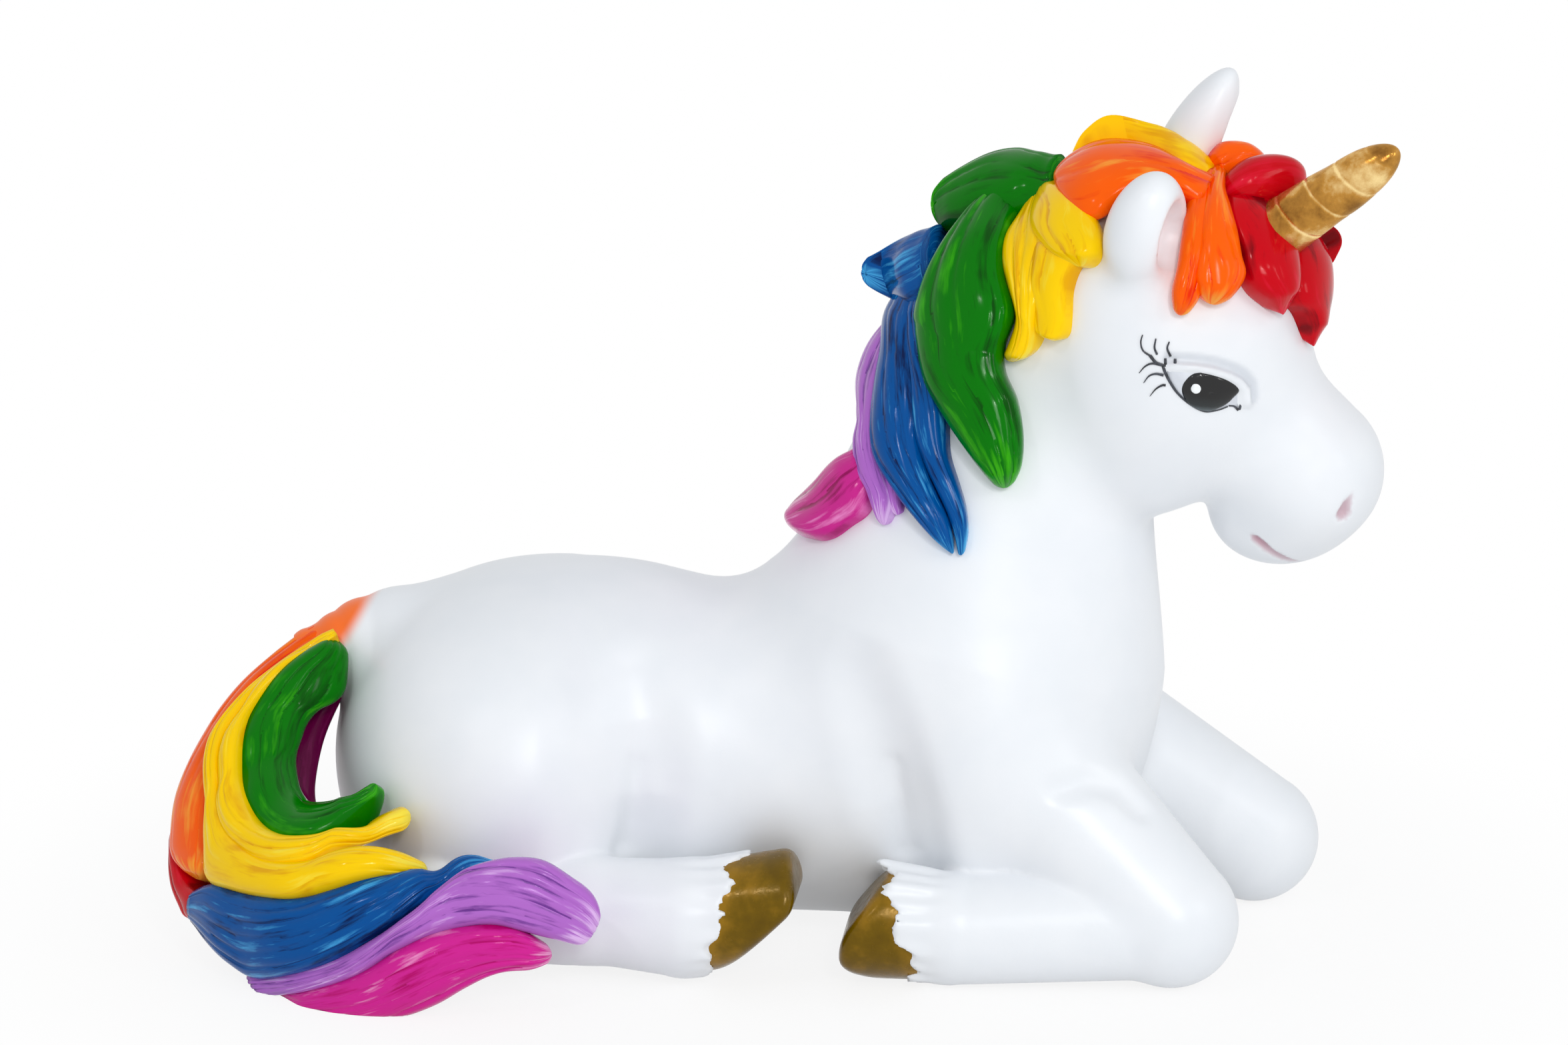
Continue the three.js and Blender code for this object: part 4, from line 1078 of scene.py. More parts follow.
def tail_fade(p):
    """One on the tail's side of a slanting line over the rump, and nothing on the other."""
    high, low = TAIL_FADE
    run = unit((low - high)[[0, 2]])
    past = (p[:, [0, 2]] - high[[0, 2]]) @ np.array([run[1], -run[0]])
    return smooth(past / FADE_WIDTH + FADE_SHIFT) * smooth((p[:, 2] - FADE_LOW_Z) / FADE_RISE)


def casting():
    vertices, quads = field_mesh(white_field, LOW, HIGH)
    mauve, painted_shade = np.zeros(len(vertices)), np.zeros(len(vertices))
    for lines in FACE.values():
        for name, radii in MAUVE_RADII.items():
            far = string_field(vertices, lines[name], radii)
            mauve = np.maximum(mauve, smooth((MAUVE_REACH - far) / MAUVE_WIDTH))
        # Painted shade along the lid groove
        far = string_field(vertices, lines["groove"], np.zeros(len(LID_GROOVE)))
        painted_shade = np.maximum(painted_shade, smooth((LID_SHADE_REACH - far) / LID_SHADE_WIDTH))
    # Painted shade along the haunch, shoulder and forearm creases
    for points, radii in CREASES:
        far = string_field(vertices, points, radii)
        painted_shade = np.maximum(painted_shade, CREASE_PAINTED_SHADE * smooth(CREASE_SHADE_REACH - far))
    attributes = {"painted_shade": painted_shade, "tail_fade": tail_fade(vertices), "mauve": mauve}
    piece = new_object("white_casting", vertices, quads, attributes)
    piece.data.materials.append(white_paint())
    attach(piece, "root")
    nodes = ["body", "head"]
    for part in ("forearm", "cannon", "hind_leg", "ear"):
        nodes += [part + "_right", part + "_left"]
    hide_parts(*nodes)


casting()


# Hooves

HOOF_BOX = 12
HAIRLINE_DEPTH, HAIRLINE_SPAN, HAIRLINE_LIGHT = 1.6, 1.4, 0.8


def hooves():
    bronze = metal_paint("bronze_paint", (88, 66, 0), (108, 82, 0), (146, 108, 18), 160, 0.1)
    for name, (coronet, toe_way, lean, cuts) in HOOVES.items():
        middle = coronet + toe_way * HOOF_LENGTH / 2

        def field(p):
            return np.maximum(hoof_field(p, coronet, toe_way, cuts), FLOOR_GAP - p[..., 2])

        vertices, quads = field_mesh(field, middle - HOOF_BOX, middle + HOOF_BOX)
        depth = (vertices - coronet) @ lean
        hollow = smooth((HAIRLINE_DEPTH - depth) / HAIRLINE_SPAN) * -HAIRLINE_LIGHT
        piece = new_object(name + "_cast", vertices, quads, {"hollow": hollow})
        piece.data.materials.append(bronze)
        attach(piece, "root")
        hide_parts(name)


hooves()


# Horn: lofted along its axis, with shallow slanting rings that carry a painted highlight, and darker towards
# its foot

HORN_WAY, HORN_SEAT = (0.8, 0.05, 0.6), (15, 0.5, 14.5)
HORN_RINGS, HORN_SIDES = 150, 56
HORN_ROUNDING, HORN_POINT = 0.66, 0.05
# Rings: their width, their depth, and the painted highlight on them
RING_WIDTH, RING_DEPTH, RING_PAINTED_HIGHLIGHT = 0.16, 0.07, 0.7
FOOT_SHARE, FOOT_SPAN, FOOT_SHADE = 0.3, 0.2, 0.6


def horn():
    way = unit(from_head_way(HORN_WAY))
    root = on_surface(head_field, from_head(HORN_SEAT), -SOCKET_DEPTH)
    side = unit(np.cross(way, (0, 0, 1)))
    up = np.cross(side, way)
    length = HORN_LENGTH + SOCKET_DEPTH
    angle = np.linspace(0, 2 * math.pi, HORN_SIDES, endpoint=False)[None]
    t = np.linspace(0, 1, HORN_RINGS)[:, None]
    tip = np.clip((t - HORN_ROUNDING) / (1 - HORN_ROUNDING), 0, 1)
    radius = mix(HORN_BASE, HORN_TIP, t) / 2 * np.sqrt(1 - 0.98 * tip**2.6)
    turn = t * (HORN_TURNS + 1) + angle / (2 * math.pi)
    ring = smooth((np.abs((turn % 1) - 0.5) * 2 - 1 + RING_WIDTH) / RING_WIDTH) * (1 - tip)
    wobble = 0.04 * np.sin(3 * angle + 9 * t) + 0.03 * np.sin(5 * angle - 23 * t)
    r = (radius - RING_DEPTH * ring + wobble * (1 - tip))[..., None]
    turned = side * np.cos(angle)[..., None] + up * np.sin(angle)[..., None]
    points = root + way * (t * length)[..., None] + turned * r
    vertices = np.concatenate([[root], points.reshape(-1, 3), [root + way * (length + HORN_POINT)]])
    faces = facing_out(vertices, ring_faces(HORN_RINGS, HORN_SIDES))
    # Painted highlight along the rings, and darker towards the foot
    hollow = smooth((FOOT_SHARE - t) / FOOT_SPAN) * FOOT_SHADE - ring * RING_PAINTED_HIGHLIGHT
    piece = new_object("horn_cast", vertices, faces, {"hollow": np.concatenate([[1], hollow.ravel(), [0]])})
    gold = metal_paint("gold_paint", (112, 68, 18), (192, 138, 60), (252, 222, 156), 200, 0.7)
    piece.data.materials.append(gold)
    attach(piece, "root")
    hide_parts("horn")


horn()


# Eyes: a domed iris on a grey white, with painted lines and lashes and a painted highlight dot, in points of
# the eye's enlargement

IRIS = [
    (740, 522), (850, 545), (1000, 587), (1090, 637), (1150, 695), (1140, 735), (1090, 790), (1020, 850),
    (930, 902), (830, 930), (720, 910), (640, 862), (590, 800), (563, 720), (580, 640), (645, 568),
]
EYE_WHITE = [
    (400, 475), (510, 490), (740, 515), (900, 548), (1060, 610), (1150, 690), (1172, 770), (1140, 885),
    (1040, 880), (950, 915), (820, 935), (700, 890), (590, 812), (500, 720), (425, 590),
]
# The spark: a painted highlight dot on the iris
SPARK, SPARK_RADII, SPARK_POINTS = (708, 690), (56, 54), 24
LOWER_LID = [
    (372, 470), (400, 545), (450, 640), (510, 730), (590, 812), (690, 885), (810, 935), (940, 915),
    (1030, 882),
]
# Strokes: points, and the widths at the start and at the end
STROKES = [
    (LOWER_LID, 30, 12),
    ([(240, 362), (300, 430), (390, 460), (510, 488), (640, 500), (740, 518)], 34, 8),
    ([(740, 522), (850, 545), (1000, 587), (1090, 637), (1150, 695)], 16, 24),
    ([(1150, 690), (1180, 770), (1165, 850), (1145, 912)], 34, 30),
    ([(1040, 872), (1090, 876), (1135, 915)], 14, 26),
    ([(250, 370), (172, 310), (146, 230), (165, 150)], 22, 12),
    ([(312, 352), (286, 280), (300, 190)], 24, 14),
    ([(450, 372), (416, 290), (436, 220)], 26, 14),
    ([(398, 455), (396, 390)], 30, 26),
    ([(494, 485), (496, 392)], 34, 28),
    ([(370, 460), (262, 442), (190, 472), (130, 540)], 30, 8),
    ([(378, 562), (300, 547), (230, 572), (176, 640)], 30, 8),
    ([(400, 664), (366, 664), (300, 702), (240, 775)], 26, 6),
]
EYE_POINT = 1 / EYE_SCALE / PICTURE_SCALE
OUTLINE_POINTS = 90
# Domes: height, lift over the skin, and rings
WHITE_DOME, IRIS_DOME, SPARK_DOME = (0.12, 0.03, 6), (0.5, 0.1, 14), (0.16, 0.46, 4)
EYE_SEAT = 0.3
STROKE_LIFT, STROKE_THICKNESS, STROKE_SIDES, STROKE_STEPS = 0.1, 0.05, 8, 5
IRIS_DOWN, IRIS_SPAN = (0.35, 0, 1), 4.4
INK, LASH, WHITE, GLINT = range(4)


def dome(outline, centre, height, lift, rings):
    """A low cushion over an outline on the head: a fan of rings, closed below."""
    sides = len(outline)
    out = unit(gradient(head_field, centre))
    vertices = [centre + out * (height + lift)]
    for rho in np.arange(1, rings + 1) / rings:
        lifts = np.full(sides, lift + height * (1 - rho**2) ** 0.5)
        vertices.extend(on_surface(head_field, mix(centre, outline, rho), lifts))
    vertices.extend(on_surface(head_field, outline, np.full(sides, -EYE_SEAT)))
    vertices.append(centre - out * EYE_SEAT)
    return np.array(vertices), ring_faces(rings + 1, sides)


def stroke(points, start_width, end_width):
    """A painted line: a flat tube that changes its width evenly."""
    at, way, _ = spline(points, STROKE_STEPS * len(points))
    out = unit(gradient(head_field, at))
    across = unit(np.cross(out, way))
    angle = np.linspace(0, 2 * math.pi, STROKE_SIDES, endpoint=False)
    half = np.linspace(start_width, end_width, len(at))[:, None] / 2
    lift = STROKE_LIFT + STROKE_THICKNESS * np.sin(angle)
    rings = at[:, None] + across[:, None] * (half * np.cos(angle))[..., None] + out[:, None] * lift[:, None]
    return with_poles(rings), ring_faces(len(at), STROKE_SIDES)


def smooth_outline(points):
    closed = np.concatenate([points, points[:1]])
    return spline(closed, OUTLINE_POINTS + 1)[0][:-1]


def eye_paints():
    return [
        ink_paint(),
        plain_paint("lash_paint", 1500.0, 0.35, (0.35, (20, 22, 28)), (0.75, (78, 82, 92))),
        plain_paint("eye_white_paint", 300.0, 0.25, (0.3, (206, 210, 218)), (0.7, (226, 229, 235))),
        plain_paint("spark_paint", 900.0, 0.2, (0.3, (236, 240, 242)), (0.7, (252, 253, 253))),
    ]


def eyes():
    paints = eye_paints()
    turn = np.linspace(0, 2 * math.pi, SPARK_POINTS, endpoint=False)
    spark_ring = SPARK + np.stack([np.cos(turn), np.sin(turn)], -1) * SPARK_RADII
    for side in SIDES:
        white = smooth_outline(on_face(EYE_VIEW, EYE_WHITE, side))
        iris = smooth_outline(on_face(EYE_VIEW, IRIS, side))
        spark = on_face(EYE_VIEW, spark_ring, side)
        meshes = [
            (WHITE, dome(white, white.mean(0), *WHITE_DOME)),
            (INK, dome(iris, iris.mean(0), *IRIS_DOME)),
            (GLINT, dome(spark, on_face(EYE_VIEW, [SPARK], side)[0], *SPARK_DOME)),
        ]
        for points, start_width, end_width in STROKES:
            at = on_face(EYE_VIEW, points, side)
            meshes.append((LASH, stroke(at, start_width * EYE_POINT, end_width * EYE_POINT)))
        vertices, faces, slots = [], [], []
        for paint, (points, polygons) in meshes:
            faces += shifted(facing_out(points, polygons), len(vertices))
            slots += [paint] * len(polygons)
            vertices.extend(points)
        down = (iris.mean(0) - np.array(vertices)) @ unit(from_head_way(IRIS_DOWN))
        piece = new_object("eye_paint_" + side, vertices, faces, {"drop": 0.5 + down / IRIS_SPAN})
        for paint in paints:
            piece.data.materials.append(paint)
        piece.data.polygons.foreach_set("material_index", slots)
        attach(piece, "root")
        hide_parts("eye_" + side)


eyes()


# Laying locks on the skin, or between edges in the air

HUG_STEPS, HUG_SLOPE_STEP, HUG_FLATTEST = 5, 0.2, 0.2
SKIN_SLOPE_STEP = 0.6
ROUTE_POINTS, ROUTE_SEAT, ROUTE_FULLEST, ROUTE_TIP_POWER = 24, 0.45, 0.35, 1.8
ROUTE_ROOT, ROUTE_TIP = 0.7, 0.3
FREE_LOBE = {"back": 3.4, "strands": 4}
FREE_FACE = unit((-0.4, -0.85, 0.3))


def skin_faces(floor, *_):
    flat = floor.reshape(-1, 3)
    return unit(gradient(skin_field, flat, SKIN_SLOPE_STEP)).reshape(floor.shape)


def free_faces(floor, a, b):
    way = np.gradient((a + b) / 2, axis=0)
    out = unit(np.cross(b - a, way))
    out *= np.sign(out @ FREE_FACE)[:, None]
    return np.broadcast_to(out[:, None], floor.shape)


def hug(a, b, floor, v):
    """Keep the lock's floor at the heights its edges have over the skin."""
    want = mix(skin_field(a)[:, None], skin_field(b)[:, None], v[None]).ravel()
    at = floor.reshape(-1, 3)
    for _ in range(HUG_STEPS):
        slope = gradient(skin_field, at, HUG_SLOPE_STEP)
        steep = np.maximum((slope * slope).sum(-1), HUG_FLATTEST)
        at = at - slope * ((skin_field(at) - want) / steep)[:, None]
    return at.reshape(floor.shape)


def route_edges(start, guide, width):
    """The two edges of a lock that follows points (x, y, z, thickness) over the skin."""
    guide = np.array(guide, float)
    seat = on_surface(skin_field, start(guide[:, :3]), guide[:, 3] * ROUTE_SEAT)
    at, way, _ = spline(seat, ROUTE_POINTS)
    s = np.linspace(0, 1, ROUTE_POINTS)[:, None]
    across = unit(np.cross(unit(gradient(skin_field, at, SKIN_SLOPE_STEP)), way))
    late = np.clip(s - ROUTE_FULLEST, 0, 1) / (1 - ROUTE_FULLEST)
    swell = mix(ROUTE_ROOT, 1, smooth(s / ROUTE_FULLEST)) - (1 - ROUTE_TIP) * late**ROUTE_TIP_POWER
    return at - across * swell * width / 2, at + across * swell * width / 2


def mane_lock(name, colour, seed, *lobes, hidden=()):
    """Lobes are (left edge, right edge, height of the edges over the skin, settings)."""
    placed = list(hidden)
    for left, right, ride, settings in lobes:
        a = seen_on_skin(MANE_VIEW(left), ride)
        b = seen_on_skin(MANE_VIEW(right), ride)
        placed.append((a, b, settings))
    lock_object(name, colour, placed, skin_faces, seed, base=hug)


def route_lock(name, colour, seed, start, guide, width, settings):
    lobes = [(*route_edges(start, guide, width), settings)]
    lock_object(name, colour, lobes, skin_faces, seed, base=hug)


def free_lock(name, colour, seed, *lobes, view=TAIL_VIEW):
    """Lobes are (left edge, right edge, settings); the points are (across, down, y in millimetres)."""
    placed = []
    for left, right, settings in lobes:
        left, right = np.array(left, float), np.array(right, float)
        a = seen_at(view(left[:, :2]), left[:, 2])
        b = seen_at(view(right[:, :2]), right[:, 2])
        placed.append((a, b, {**FREE_LOBE, **settings}))
    lock_object(name, colour, placed, free_faces, seed)


def from_neck(p):
    return np.asarray(p, float) + NECK_TOP


# Mane, near side: edges in points of the mane's enlargement, laid on the skin

LEFT_FORELOCK_ROUTE = [(13, 6, 18, 3), (15, 9, 14.5, 3), (16.5, 10, 11, 2.4), (17.5, 9.5, 7, 1)]
LEFT_FORELOCK = (
    *route_edges(from_head, LEFT_FORELOCK_ROUTE, 6.5),
    {"front": 2.2, "strands": 2, "groove": 0.14, "tip_round": 2.0},
)

mane_lock("magenta_mane", "magenta", 3, (
    [(290, 1015), (240, 1060), (200, 1110), (150, 1160), (106, 1205)],
    [(320, 1120), (295, 1180), (250, 1212), (200, 1243), (135, 1250)],
    1.0, {"front": 2.2},
))
mane_lock("purple_mane", "purple", 4, (
    [
        (380, 690), (330, 760), (300, 820), (290, 880), (297, 950), (285, 1010), (290, 1080), (318, 1140),
        (330, 1210),
    ],
    [
        (420, 690), (400, 770), (375, 840), (355, 920), (350, 1000), (355, 1060), (365, 1110), (372, 1160),
        (350, 1215),
    ],
    0.8, {"front": 1.8},
), (
    [(350, 900), (345, 960), (345, 1020), (350, 1080), (358, 1130), (366, 1190)],
    [(400, 900), (400, 960), (395, 1020), (390, 1080), (392, 1130), (388, 1185)],
    0.6, {"front": 1.5, "strands": 2},
))
mane_lock("blue_tuft", "blue", 5, (
    [(500, 470), (470, 488), (420, 510), (350, 545), (296, 568)],
    [(470, 640), (430, 668), (390, 662), (340, 634), (298, 602)],
    1.6, {"front": 2.4, "strands": 3, "tip_round": 0.7},
))
mane_lock("blue_mane", "blue", 6, (
    [
        (440, 600), (430, 680), (425, 760), (430, 850), (430, 930), (435, 1000), (455, 1070), (480, 1130),
        (505, 1190), (520, 1240), (530, 1292),
    ],
    [
        (490, 600), (480, 680), (478, 760), (490, 860), (500, 930), (502, 980), (507, 1040), (530, 1110),
        (548, 1170), (554, 1230), (545, 1284),
    ],
    0.9, {"front": 2.1, "tip_round": 0.6},
), (
    [
        (420, 600), (385, 660), (370, 720), (360, 790), (345, 850), (332, 930), (328, 1000), (340, 1060),
        (380, 1130), (420, 1190), (465, 1245), (504, 1280),
    ],
    [
        (470, 600), (450, 680), (440, 760), (445, 850), (448, 930), (446, 1000), (458, 1070), (480, 1130),
        (505, 1190), (516, 1240), (518, 1288),
    ],
    1.0, {"front": 2.4, "strands": 4, "groove": 0.3, "tip_round": 0.6},
))
mane_lock("yellow_crest", "yellow", 7, (
    [(1165, 332), (1100, 284), (1050, 254), (970, 228), (910, 222), (860, 246), (812, 286)],
    [(1150, 362), (1090, 350), (1030, 325), (960, 310), (890, 306), (850, 310), (815, 304)],
    1.2, {"front": 2.4, "back": 4.0},
))
mane_lock("green_tuft", "green", 8, (
    [(800, 300), (750, 304), (690, 302), (630, 316), (560, 352), (490, 394), (462, 412)],
    [(770, 400), (720, 425), (650, 438), (580, 446), (525, 464), (492, 474), (466, 436)],
    2.2, {"front": 2.6, "strands": 4, "tip_round": 0.6},
))
mane_lock("yellow_mane", "yellow", 9, (
    [(740, 470), (715, 540), (710, 600), (715, 660), (722, 700), (748, 745)],
    [(850, 540), (822, 578), (806, 630), (802, 690), (796, 735), (778, 758)],
    1.0, {"front": 1.9, "tip_round": 0.7},
), (
    [(735, 370), (690, 445), (648, 505), (640, 560), (655, 620), (676, 690), (660, 750), (636, 803)],
    [(810, 400), (790, 470), (765, 540), (752, 600), (752, 660), (740, 720), (720, 775), (688, 806)],
    1.3, {"front": 2.3, "strands": 4, "tip_round": 0.6},
), (
    [(745, 370), (720, 430), (725, 480), (765, 530), (815, 566)],
    [(830, 400), (872, 440), (890, 500), (884, 540), (850, 568)],
    1.4, {"front": 2.6, "tip_round": 0.8},
))
mane_lock("green_mane", "green", 10, (
    [
        (620, 400), (556, 480), (504, 550), (466, 620), (442, 700), (440, 770), (455, 860), (490, 930),
        (540, 1010), (590, 1080), (628, 1124),
    ],
    [
        (790, 350), (700, 430), (655, 510), (650, 590), (672, 680), (645, 770), (648, 830), (678, 900),
        (692, 980), (688, 1060), (665, 1117),
    ],
    1.6, {"front": 3.0, "strands": 4, "groove": 0.3, "tip_round": 0.7},
))
mane_lock("orange_crest", "orange", 11, (
    [(1168, 352), (1096, 334), (1026, 303), (958, 285), (902, 281), (854, 297), (800, 330), (782, 366)],
    [(1130, 420), (1080, 400), (1010, 380), (950, 392), (920, 412), (884, 442), (842, 448), (798, 420)],
    2.0, {"front": 2.2, "back": 1.5, "tip_round": 0.8},
))
mane_lock("orange_forelock", "orange", 13, (
    [(1130, 345), (1105, 390), (1094, 440), (1085, 500), (1075, 570), (1062, 630), (1068, 685)],
    [(1175, 350), (1165, 420), (1160, 480), (1152, 540), (1140, 600), (1128, 650), (1098, 692)],
    1.3, {"front": 2.4, "tip_round": 0.7},
), (
    [(1140, 350), (1130, 420), (1122, 480), (1118, 540), (1112, 600), (1136, 655)],
    [(1192, 350), (1188, 390), (1203, 440), (1217, 490), (1229, 550), (1237, 600), (1190, 668)],
    1.5, {"front": 2.6, "tip_round": 0.7},
))
mane_lock("red_forelock", "red", 14, (
    [
        (1270, 400), (1305, 460), (1330, 530), (1345, 590), (1358, 650), (1382, 684), (1402, 727),
        (1416, 766),
    ],
    [
        (1330, 400), (1368, 450), (1400, 505), (1426, 548), (1436, 590), (1434, 645), (1422, 710),
        (1420, 766),
    ],
    1.0, {"front": 2.0, "strands": 1, "groove": 0.1, "tip_round": 2.0},
), (
    [(1190, 395), (1198, 450), (1222, 515), (1236, 580), (1262, 628), (1304, 662), (1338, 686)],
    [(1292, 395), (1318, 450), (1342, 510), (1356, 570), (1360, 620), (1352, 660), (1343, 688)],
    1.4, {"front": 2.6, "strands": 2, "groove": 0.1, "tip_round": 2.0},
))
mane_lock("red_forelock_left", "red", 15, (
    [(1400, 470), (1420, 500), (1440, 535), (1450, 560)],
    [(1440, 460), (1464, 490), (1472, 520), (1464, 562)],
    1.6, {"front": 1.8, "strands": 2},
), hidden=[LEFT_FORELOCK])


# Mane, hidden side: routes over the skin, close to those of the solids

route_lock("purple_mane_left", "purple", 21, from_neck, [
    (-15.5, 0.5, 4.5, 1.6), (-15.5, 3, 0.5, 1.8), (-17.5, 4, -5, 1.5), (-18, 7.5, -11.5, 0.9),
    (-16.5, 12, -17, 0.5),
], 6, {"front": 2.0})
route_lock("blue_mane_left", "blue", 22, from_neck, [
    (-13.5, 0.5, 9.5, 1.8), (-12.5, 5, 5, 2), (-13, 10, -2, 2.3), (-13, 12.5, -8.5, 1.7),
    (-10.5, 14.5, -14.5, 1), (-7.5, 16.5, -19.5, 0.5),
], 8, {"front": 2.4, "strands": 4})
route_lock("yellow_mane_left", "yellow", 23, from_head, [
    (-5, 4, 17.5, 2.2), (-6.5, 9, 15, 2.8), (-10, 12, 11.5, 2.7), (-11.5, 13.5, 6.5, 2.3),
    (-13.5, 13, 1.5, 1.9),
], 9, {"front": 2.6, "strands": 4})
route_lock("green_mane_left", "green", 24, from_neck, [
    (-8, 0.5, 16, 2.6), (-6, 6, 12.5, 3.3), (-7.5, 11, 8, 3.1), (-8, 12.5, 1.5, 2.8), (-5.5, 14.5, -5, 1.8),
    (-2, 15.5, -12.5, 1),
], 10, {"front": 3.0, "strands": 4})


# Curls of the forelock, and the tail: bands between edges, each point with its own y

free_lock("orange_forelock_left", "orange", 12, (
    [
        (1150, 322, -5), (1157, 286, -4.5), (1182, 258, -4), (1214, 252, -3.5), (1250, 258, -3),
        (1277, 278, -2.5), (1290, 302, -2),
    ],
    [
        (1168, 352, -5.5), (1196, 368, -5), (1222, 362, -4.5), (1248, 348, -4), (1270, 336, -3.5),
        (1284, 320, -3), (1292, 308, -2.5),
    ],
    {"front": 2.2, "back": 5.0, "strands": 2, "groove": 0.1},
), view=MANE_VIEW)
free_lock("red_curl", "red", 16, (
    [
        (1182, 398, -9), (1194, 344, -8.5), (1240, 300, -7.5), (1300, 286, -6.5), (1350, 294, -5.5),
        (1384, 324, -4.5), (1396, 358, -4),
    ],
    [
        (1196, 412, -9.5), (1226, 418, -9.5), (1262, 418, -9), (1303, 416, -8), (1337, 404, -7),
        (1366, 390, -5.5), (1392, 366, -4.5),
    ],
    {"front": 2.8, "back": 5.0, "strands": 1, "groove": 0.1},
), view=MANE_VIEW)
free_lock("tail_core", "maroon", 31, (
    [
        (560, 150, 1), (470, 170, 0), (380, 240, -3), (310, 330, -6), (260, 430, -9), (240, 530, -12),
        (245, 630, -16), (270, 710, -20), (320, 780, -24), (400, 820, -27),
    ],
    [
        (590, 230, -2), (545, 300, -3), (505, 373, -5), (464, 472, -8), (442, 582, -12), (446, 650, -15),
        (470, 700, -19), (500, 740, -23), (540, 770, -26),
    ],
    {"front": 1.2, "back": 6.0},
))
free_lock("tail_red", "red", 32, (
    [(84, 690, -12), (84, 760, -15), (92, 830, -17), (112, 900, -20), (138, 945, -22)],
    [(100, 690, -15), (108, 780, -18), (118, 840, -21), (142, 880, -24), (135, 940, -24)],
    {"front": 1.6, "strands": 2},
))
free_lock("tail_orange", "orange", 33, (
    [
        (640, 200, 1), (560, 180, 0), (500, 178, -0.5), (438, 181, -1.5), (366, 231, -3), (309, 282, -4.5),
        (258, 333, -6), (218, 382, -7.5), (184, 434, -9), (133, 532, -11), (98, 628, -13), (86, 727, -15.5),
        (88, 780, -17), (99, 830, -20),
    ],
    [
        (640, 250, -1), (580, 245, -2), (520, 240, -3), (470, 262, -4.5), (410, 320, -7), (350, 380, -10),
        (300, 450, -13), (255, 520, -15), (220, 590, -17), (195, 660, -19), (186, 730, -21),
        (178, 790, -23), (170, 842, -25),
    ],
    {"front": 2.2, "back": 5.0},
))
free_lock("tail_yellow", "yellow", 34, (
    [
        (490, 190, -6), (446, 208, -7), (350, 286, -9), (262, 378, -12), (194, 474, -15), (170, 538, -17),
        (168, 612, -19), (178, 690, -21), (172, 770, -23), (175, 845, -25), (230, 868, -28),
        (320, 888, -31), (400, 890, -33), (480, 866, -34), (560, 846, -33.5), (640, 834, -32),
        (738, 832, -30),
    ],
    [
        (495, 195, -7), (440, 225, -8), (365, 285, -10), (300, 355, -13), (240, 440, -16), (215, 510, -18),
        (215, 590, -20), (230, 670, -23), (265, 735, -26), (330, 780, -29), (400, 790, -31),
        (480, 780, -31), (560, 755, -31), (650, 762, -30.5), (734, 796, -29.5),
    ],
    {"front": 2.2, "tip_round": 0.6},
), (
    [
        (485, 195, -6), (440, 222, -8), (358, 288, -10), (284, 362, -13), (224, 452, -16), (200, 515, -18),
        (196, 592, -20), (204, 670, -22), (236, 750, -25), (310, 812, -29), (400, 820, -31),
        (480, 795, -30.5), (560, 752, -28), (630, 722, -26.5), (694, 700, -25.5),
    ],
    [
        (500, 200, -7), (440, 240, -9), (380, 280, -11), (330, 335, -13), (282, 405, -15), (258, 480, -18),
        (256, 560, -20), (270, 630, -23), (305, 690, -25), (360, 725, -27), (430, 732, -28),
        (500, 722, -27), (570, 698, -27), (630, 662, -26), (688, 642, -25.5),
    ],
    {"front": 2.4, "tip_round": 0.8},
))
free_lock("tail_green", "green", 35, (
    [
        (470, 200, -6), (430, 228, -9), (368, 272, -11), (316, 327, -13), (268, 400, -15), (243, 480, -18),
        (242, 560, -20), (256, 640, -23), (295, 704, -25), (355, 741, -27), (430, 747, -28),
        (500, 725, -27), (565, 672, -25), (608, 624, -23.5), (608, 594, -23),
    ],
    [
        (500, 212, -6), (514, 260, -6), (508, 350, -8), (450, 392, -10), (402, 450, -12), (386, 520, -14),
        (394, 590, -17), (432, 652, -20), (500, 650, -22), (545, 628, -22.5), (575, 600, -22.5),
        (592, 580, -22.5),
    ],
    {"front": 2.4, "tip_round": 0.6},
))
free_lock("tail_blue", "blue", 36, (
    [
        (130, 862, -24), (180, 847, -26), (250, 868, -29), (330, 884, -32), (420, 880, -33),
        (500, 858, -33), (590, 834, -32), (690, 832, -31), (760, 838, -31), (830, 800, -30),
        (912, 784, -29),
    ],
    [
        (140, 942, -22), (182, 1000, -25), (245, 1058, -28), (304, 1092, -30), (380, 1085, -33),
        (470, 1060, -35), (560, 1020, -36), (650, 970, -36), (720, 915, -35), (790, 860, -33),
        (850, 815, -32), (914, 794, -29),
    ],
    {"front": 2.4, "strands": 6, "groove": 0.34},
))
free_lock("tail_pink", "pink", 37, (
    [
        (330, 1120, -30), (440, 1110, -34), (560, 1070, -36), (660, 1010, -37), (740, 975, -37),
        (830, 955, -37), (910, 950, -37), (980, 965, -36), (1058, 1012, -35),
    ],
    [
        (345, 1142, -29), (450, 1185, -32), (560, 1203, -34), (660, 1193, -35), (760, 1160, -36),
        (840, 1115, -36.5), (920, 1077, -36.5), (1000, 1070, -36), (1062, 1050, -35),
    ],
    {"front": 2.3, "strands": 5, "groove": 0.3},
))
free_lock("tail_purple", "purple", 38, (
    [
        (270, 1080, -29), (400, 1068, -33), (500, 1038, -35), (600, 988, -36), (690, 928, -36),
        (760, 868, -35), (830, 818, -34), (900, 790, -34), (970, 778, -34), (1040, 786, -34),
        (1110, 828, -34), (1165, 872, -34), (1192, 935, -34),
    ],
    [
        (330, 1135, -30), (440, 1124, -34), (560, 1084, -36), (660, 1025, -37), (740, 988, -37),
        (830, 965, -37), (910, 958, -37), (980, 972, -36.5), (1060, 992, -36), (1120, 1004, -35),
        (1145, 1000, -34),
    ],
    {"front": 2.5, "strands": 5, "groove": 0.3},
))


# Floor, light and camera

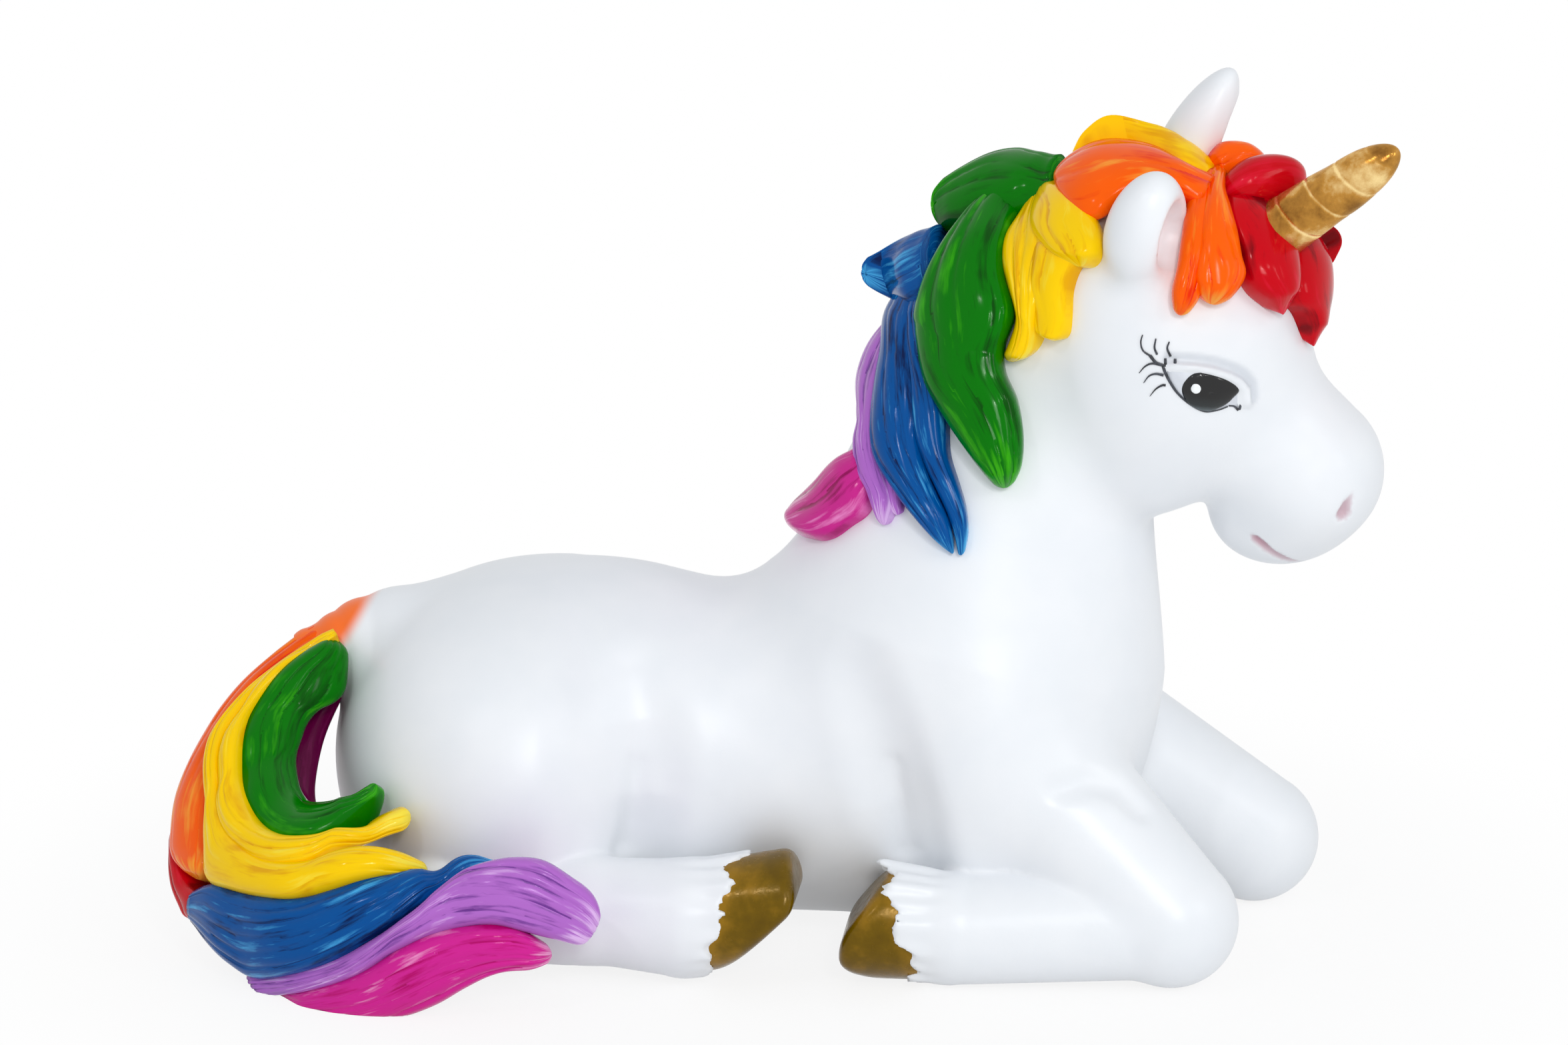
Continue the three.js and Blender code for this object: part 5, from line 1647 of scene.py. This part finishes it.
FLOOR_SIZE, FLOOR_COLOUR = 6, (0.95, 0.95, 0.95, 1)
# The floor's glow rises with the distance from the middle, in metres
GLOW_SPAN, GLOW_RANGE = (0.05, 0.11), (0.86, 1.0)
ROOM_LIGHT, ROOM_COLOUR = 0.6, (0.94, 0.97, 1, 1)
# Lamps: place and size in metres, and power in watts
LAMPS = {
    "key": ((0.2, -0.7, 0.38), (0.2, 0.16), 1.25),
    "side": ((0.62, -0.34, 0.36), (0.1, 0.24), 0.4),
    "spark": ((0.2, -0.62, 0.42), (0.02, 0.03), 0.4),
    "glint": ((-0.25, -0.5, 0.55), (0.02, 0.03), 0.3),
    "gleam": ((0.45, -0.5, 0.5), (0.02, 0.03), 0.2),
}
LAMP_TARGET = np.array([0, 0, 0.045])
SENSOR_WIDTH = 36
CLIP_START = 0.01


def studio_floor():
    """A plane that is lit like paper, and that glows white for the rays that show it."""
    bpy.ops.mesh.primitive_plane_add(size=FLOOR_SIZE)
    floor = bpy.context.object
    floor.name = "studio_floor"
    n = new_material("studio_floor")
    n.set(Base_Color=FLOOR_COLOUR, Roughness=0.9, Specular_IOR_Level=0.1)
    reach = n.add("ShaderNodeVectorMath", operation="LENGTH")
    n.feed(reach.inputs[0], n.place())
    far = n.span(reach.outputs["Value"], *GLOW_SPAN, *GLOW_RANGE)
    n.show("Material Output", n.times(n.seen(), far), n.shader.outputs[0], n.glow("ShaderNodeEmission"))
    floor.data.materials.append(n.owner)


def studio_room():
    """Even light from all around, before a backdrop that shows white."""
    world = bpy.data.worlds.new("studio")
    bpy.context.scene.world = world
    n = Nodes(world)
    room = n.tree.nodes["Background"]
    n.put(room, Color=ROOM_COLOUR, Strength=ROOM_LIGHT)
    n.show("World Output", n.seen(), room.outputs[0], n.glow("ShaderNodeBackground"))


def aim(thing, place, target):
    back = unit(place - target)
    right = unit(np.cross((0, 0, 1), back))
    turned = np.eye(4)
    turned[:3] = np.stack([right, np.cross(back, right), back, place], -1)
    thing.matrix_world = turned.T.tolist()


def lamp(name, place, size, power):
    light = bpy.data.lights.new(name, "AREA")
    light.shape = "RECTANGLE"
    light.size, light.size_y = size
    light.energy = power
    thing = bpy.data.objects.new(name, light)
    bpy.context.collection.objects.link(thing)
    aim(thing, np.array(place), LAMP_TARGET)


def photograph():
    lens = bpy.data.cameras.new("photograph")
    lens.sensor_fit = "HORIZONTAL"
    lens.sensor_width = SENSOR_WIDTH
    lens.lens = SENSOR_WIDTH * CAMERA_DISTANCE * PICTURE_SCALE / (2 * PICTURE_MIDDLE[0])
    lens.clip_start = CLIP_START
    camera = bpy.data.objects.new("photograph", lens)
    bpy.context.collection.objects.link(camera)
    aim(camera, CAMERA_PLACE * MM, CAMERA_TARGET * MM)
    bpy.context.scene.camera = camera


studio_floor()
studio_room()
for lamp_name, settings in LAMPS.items():
    lamp(lamp_name, *settings)
photograph()
bpy.context.scene.view_settings.view_transform = "Standard"

bpy.context.view_layer.update()
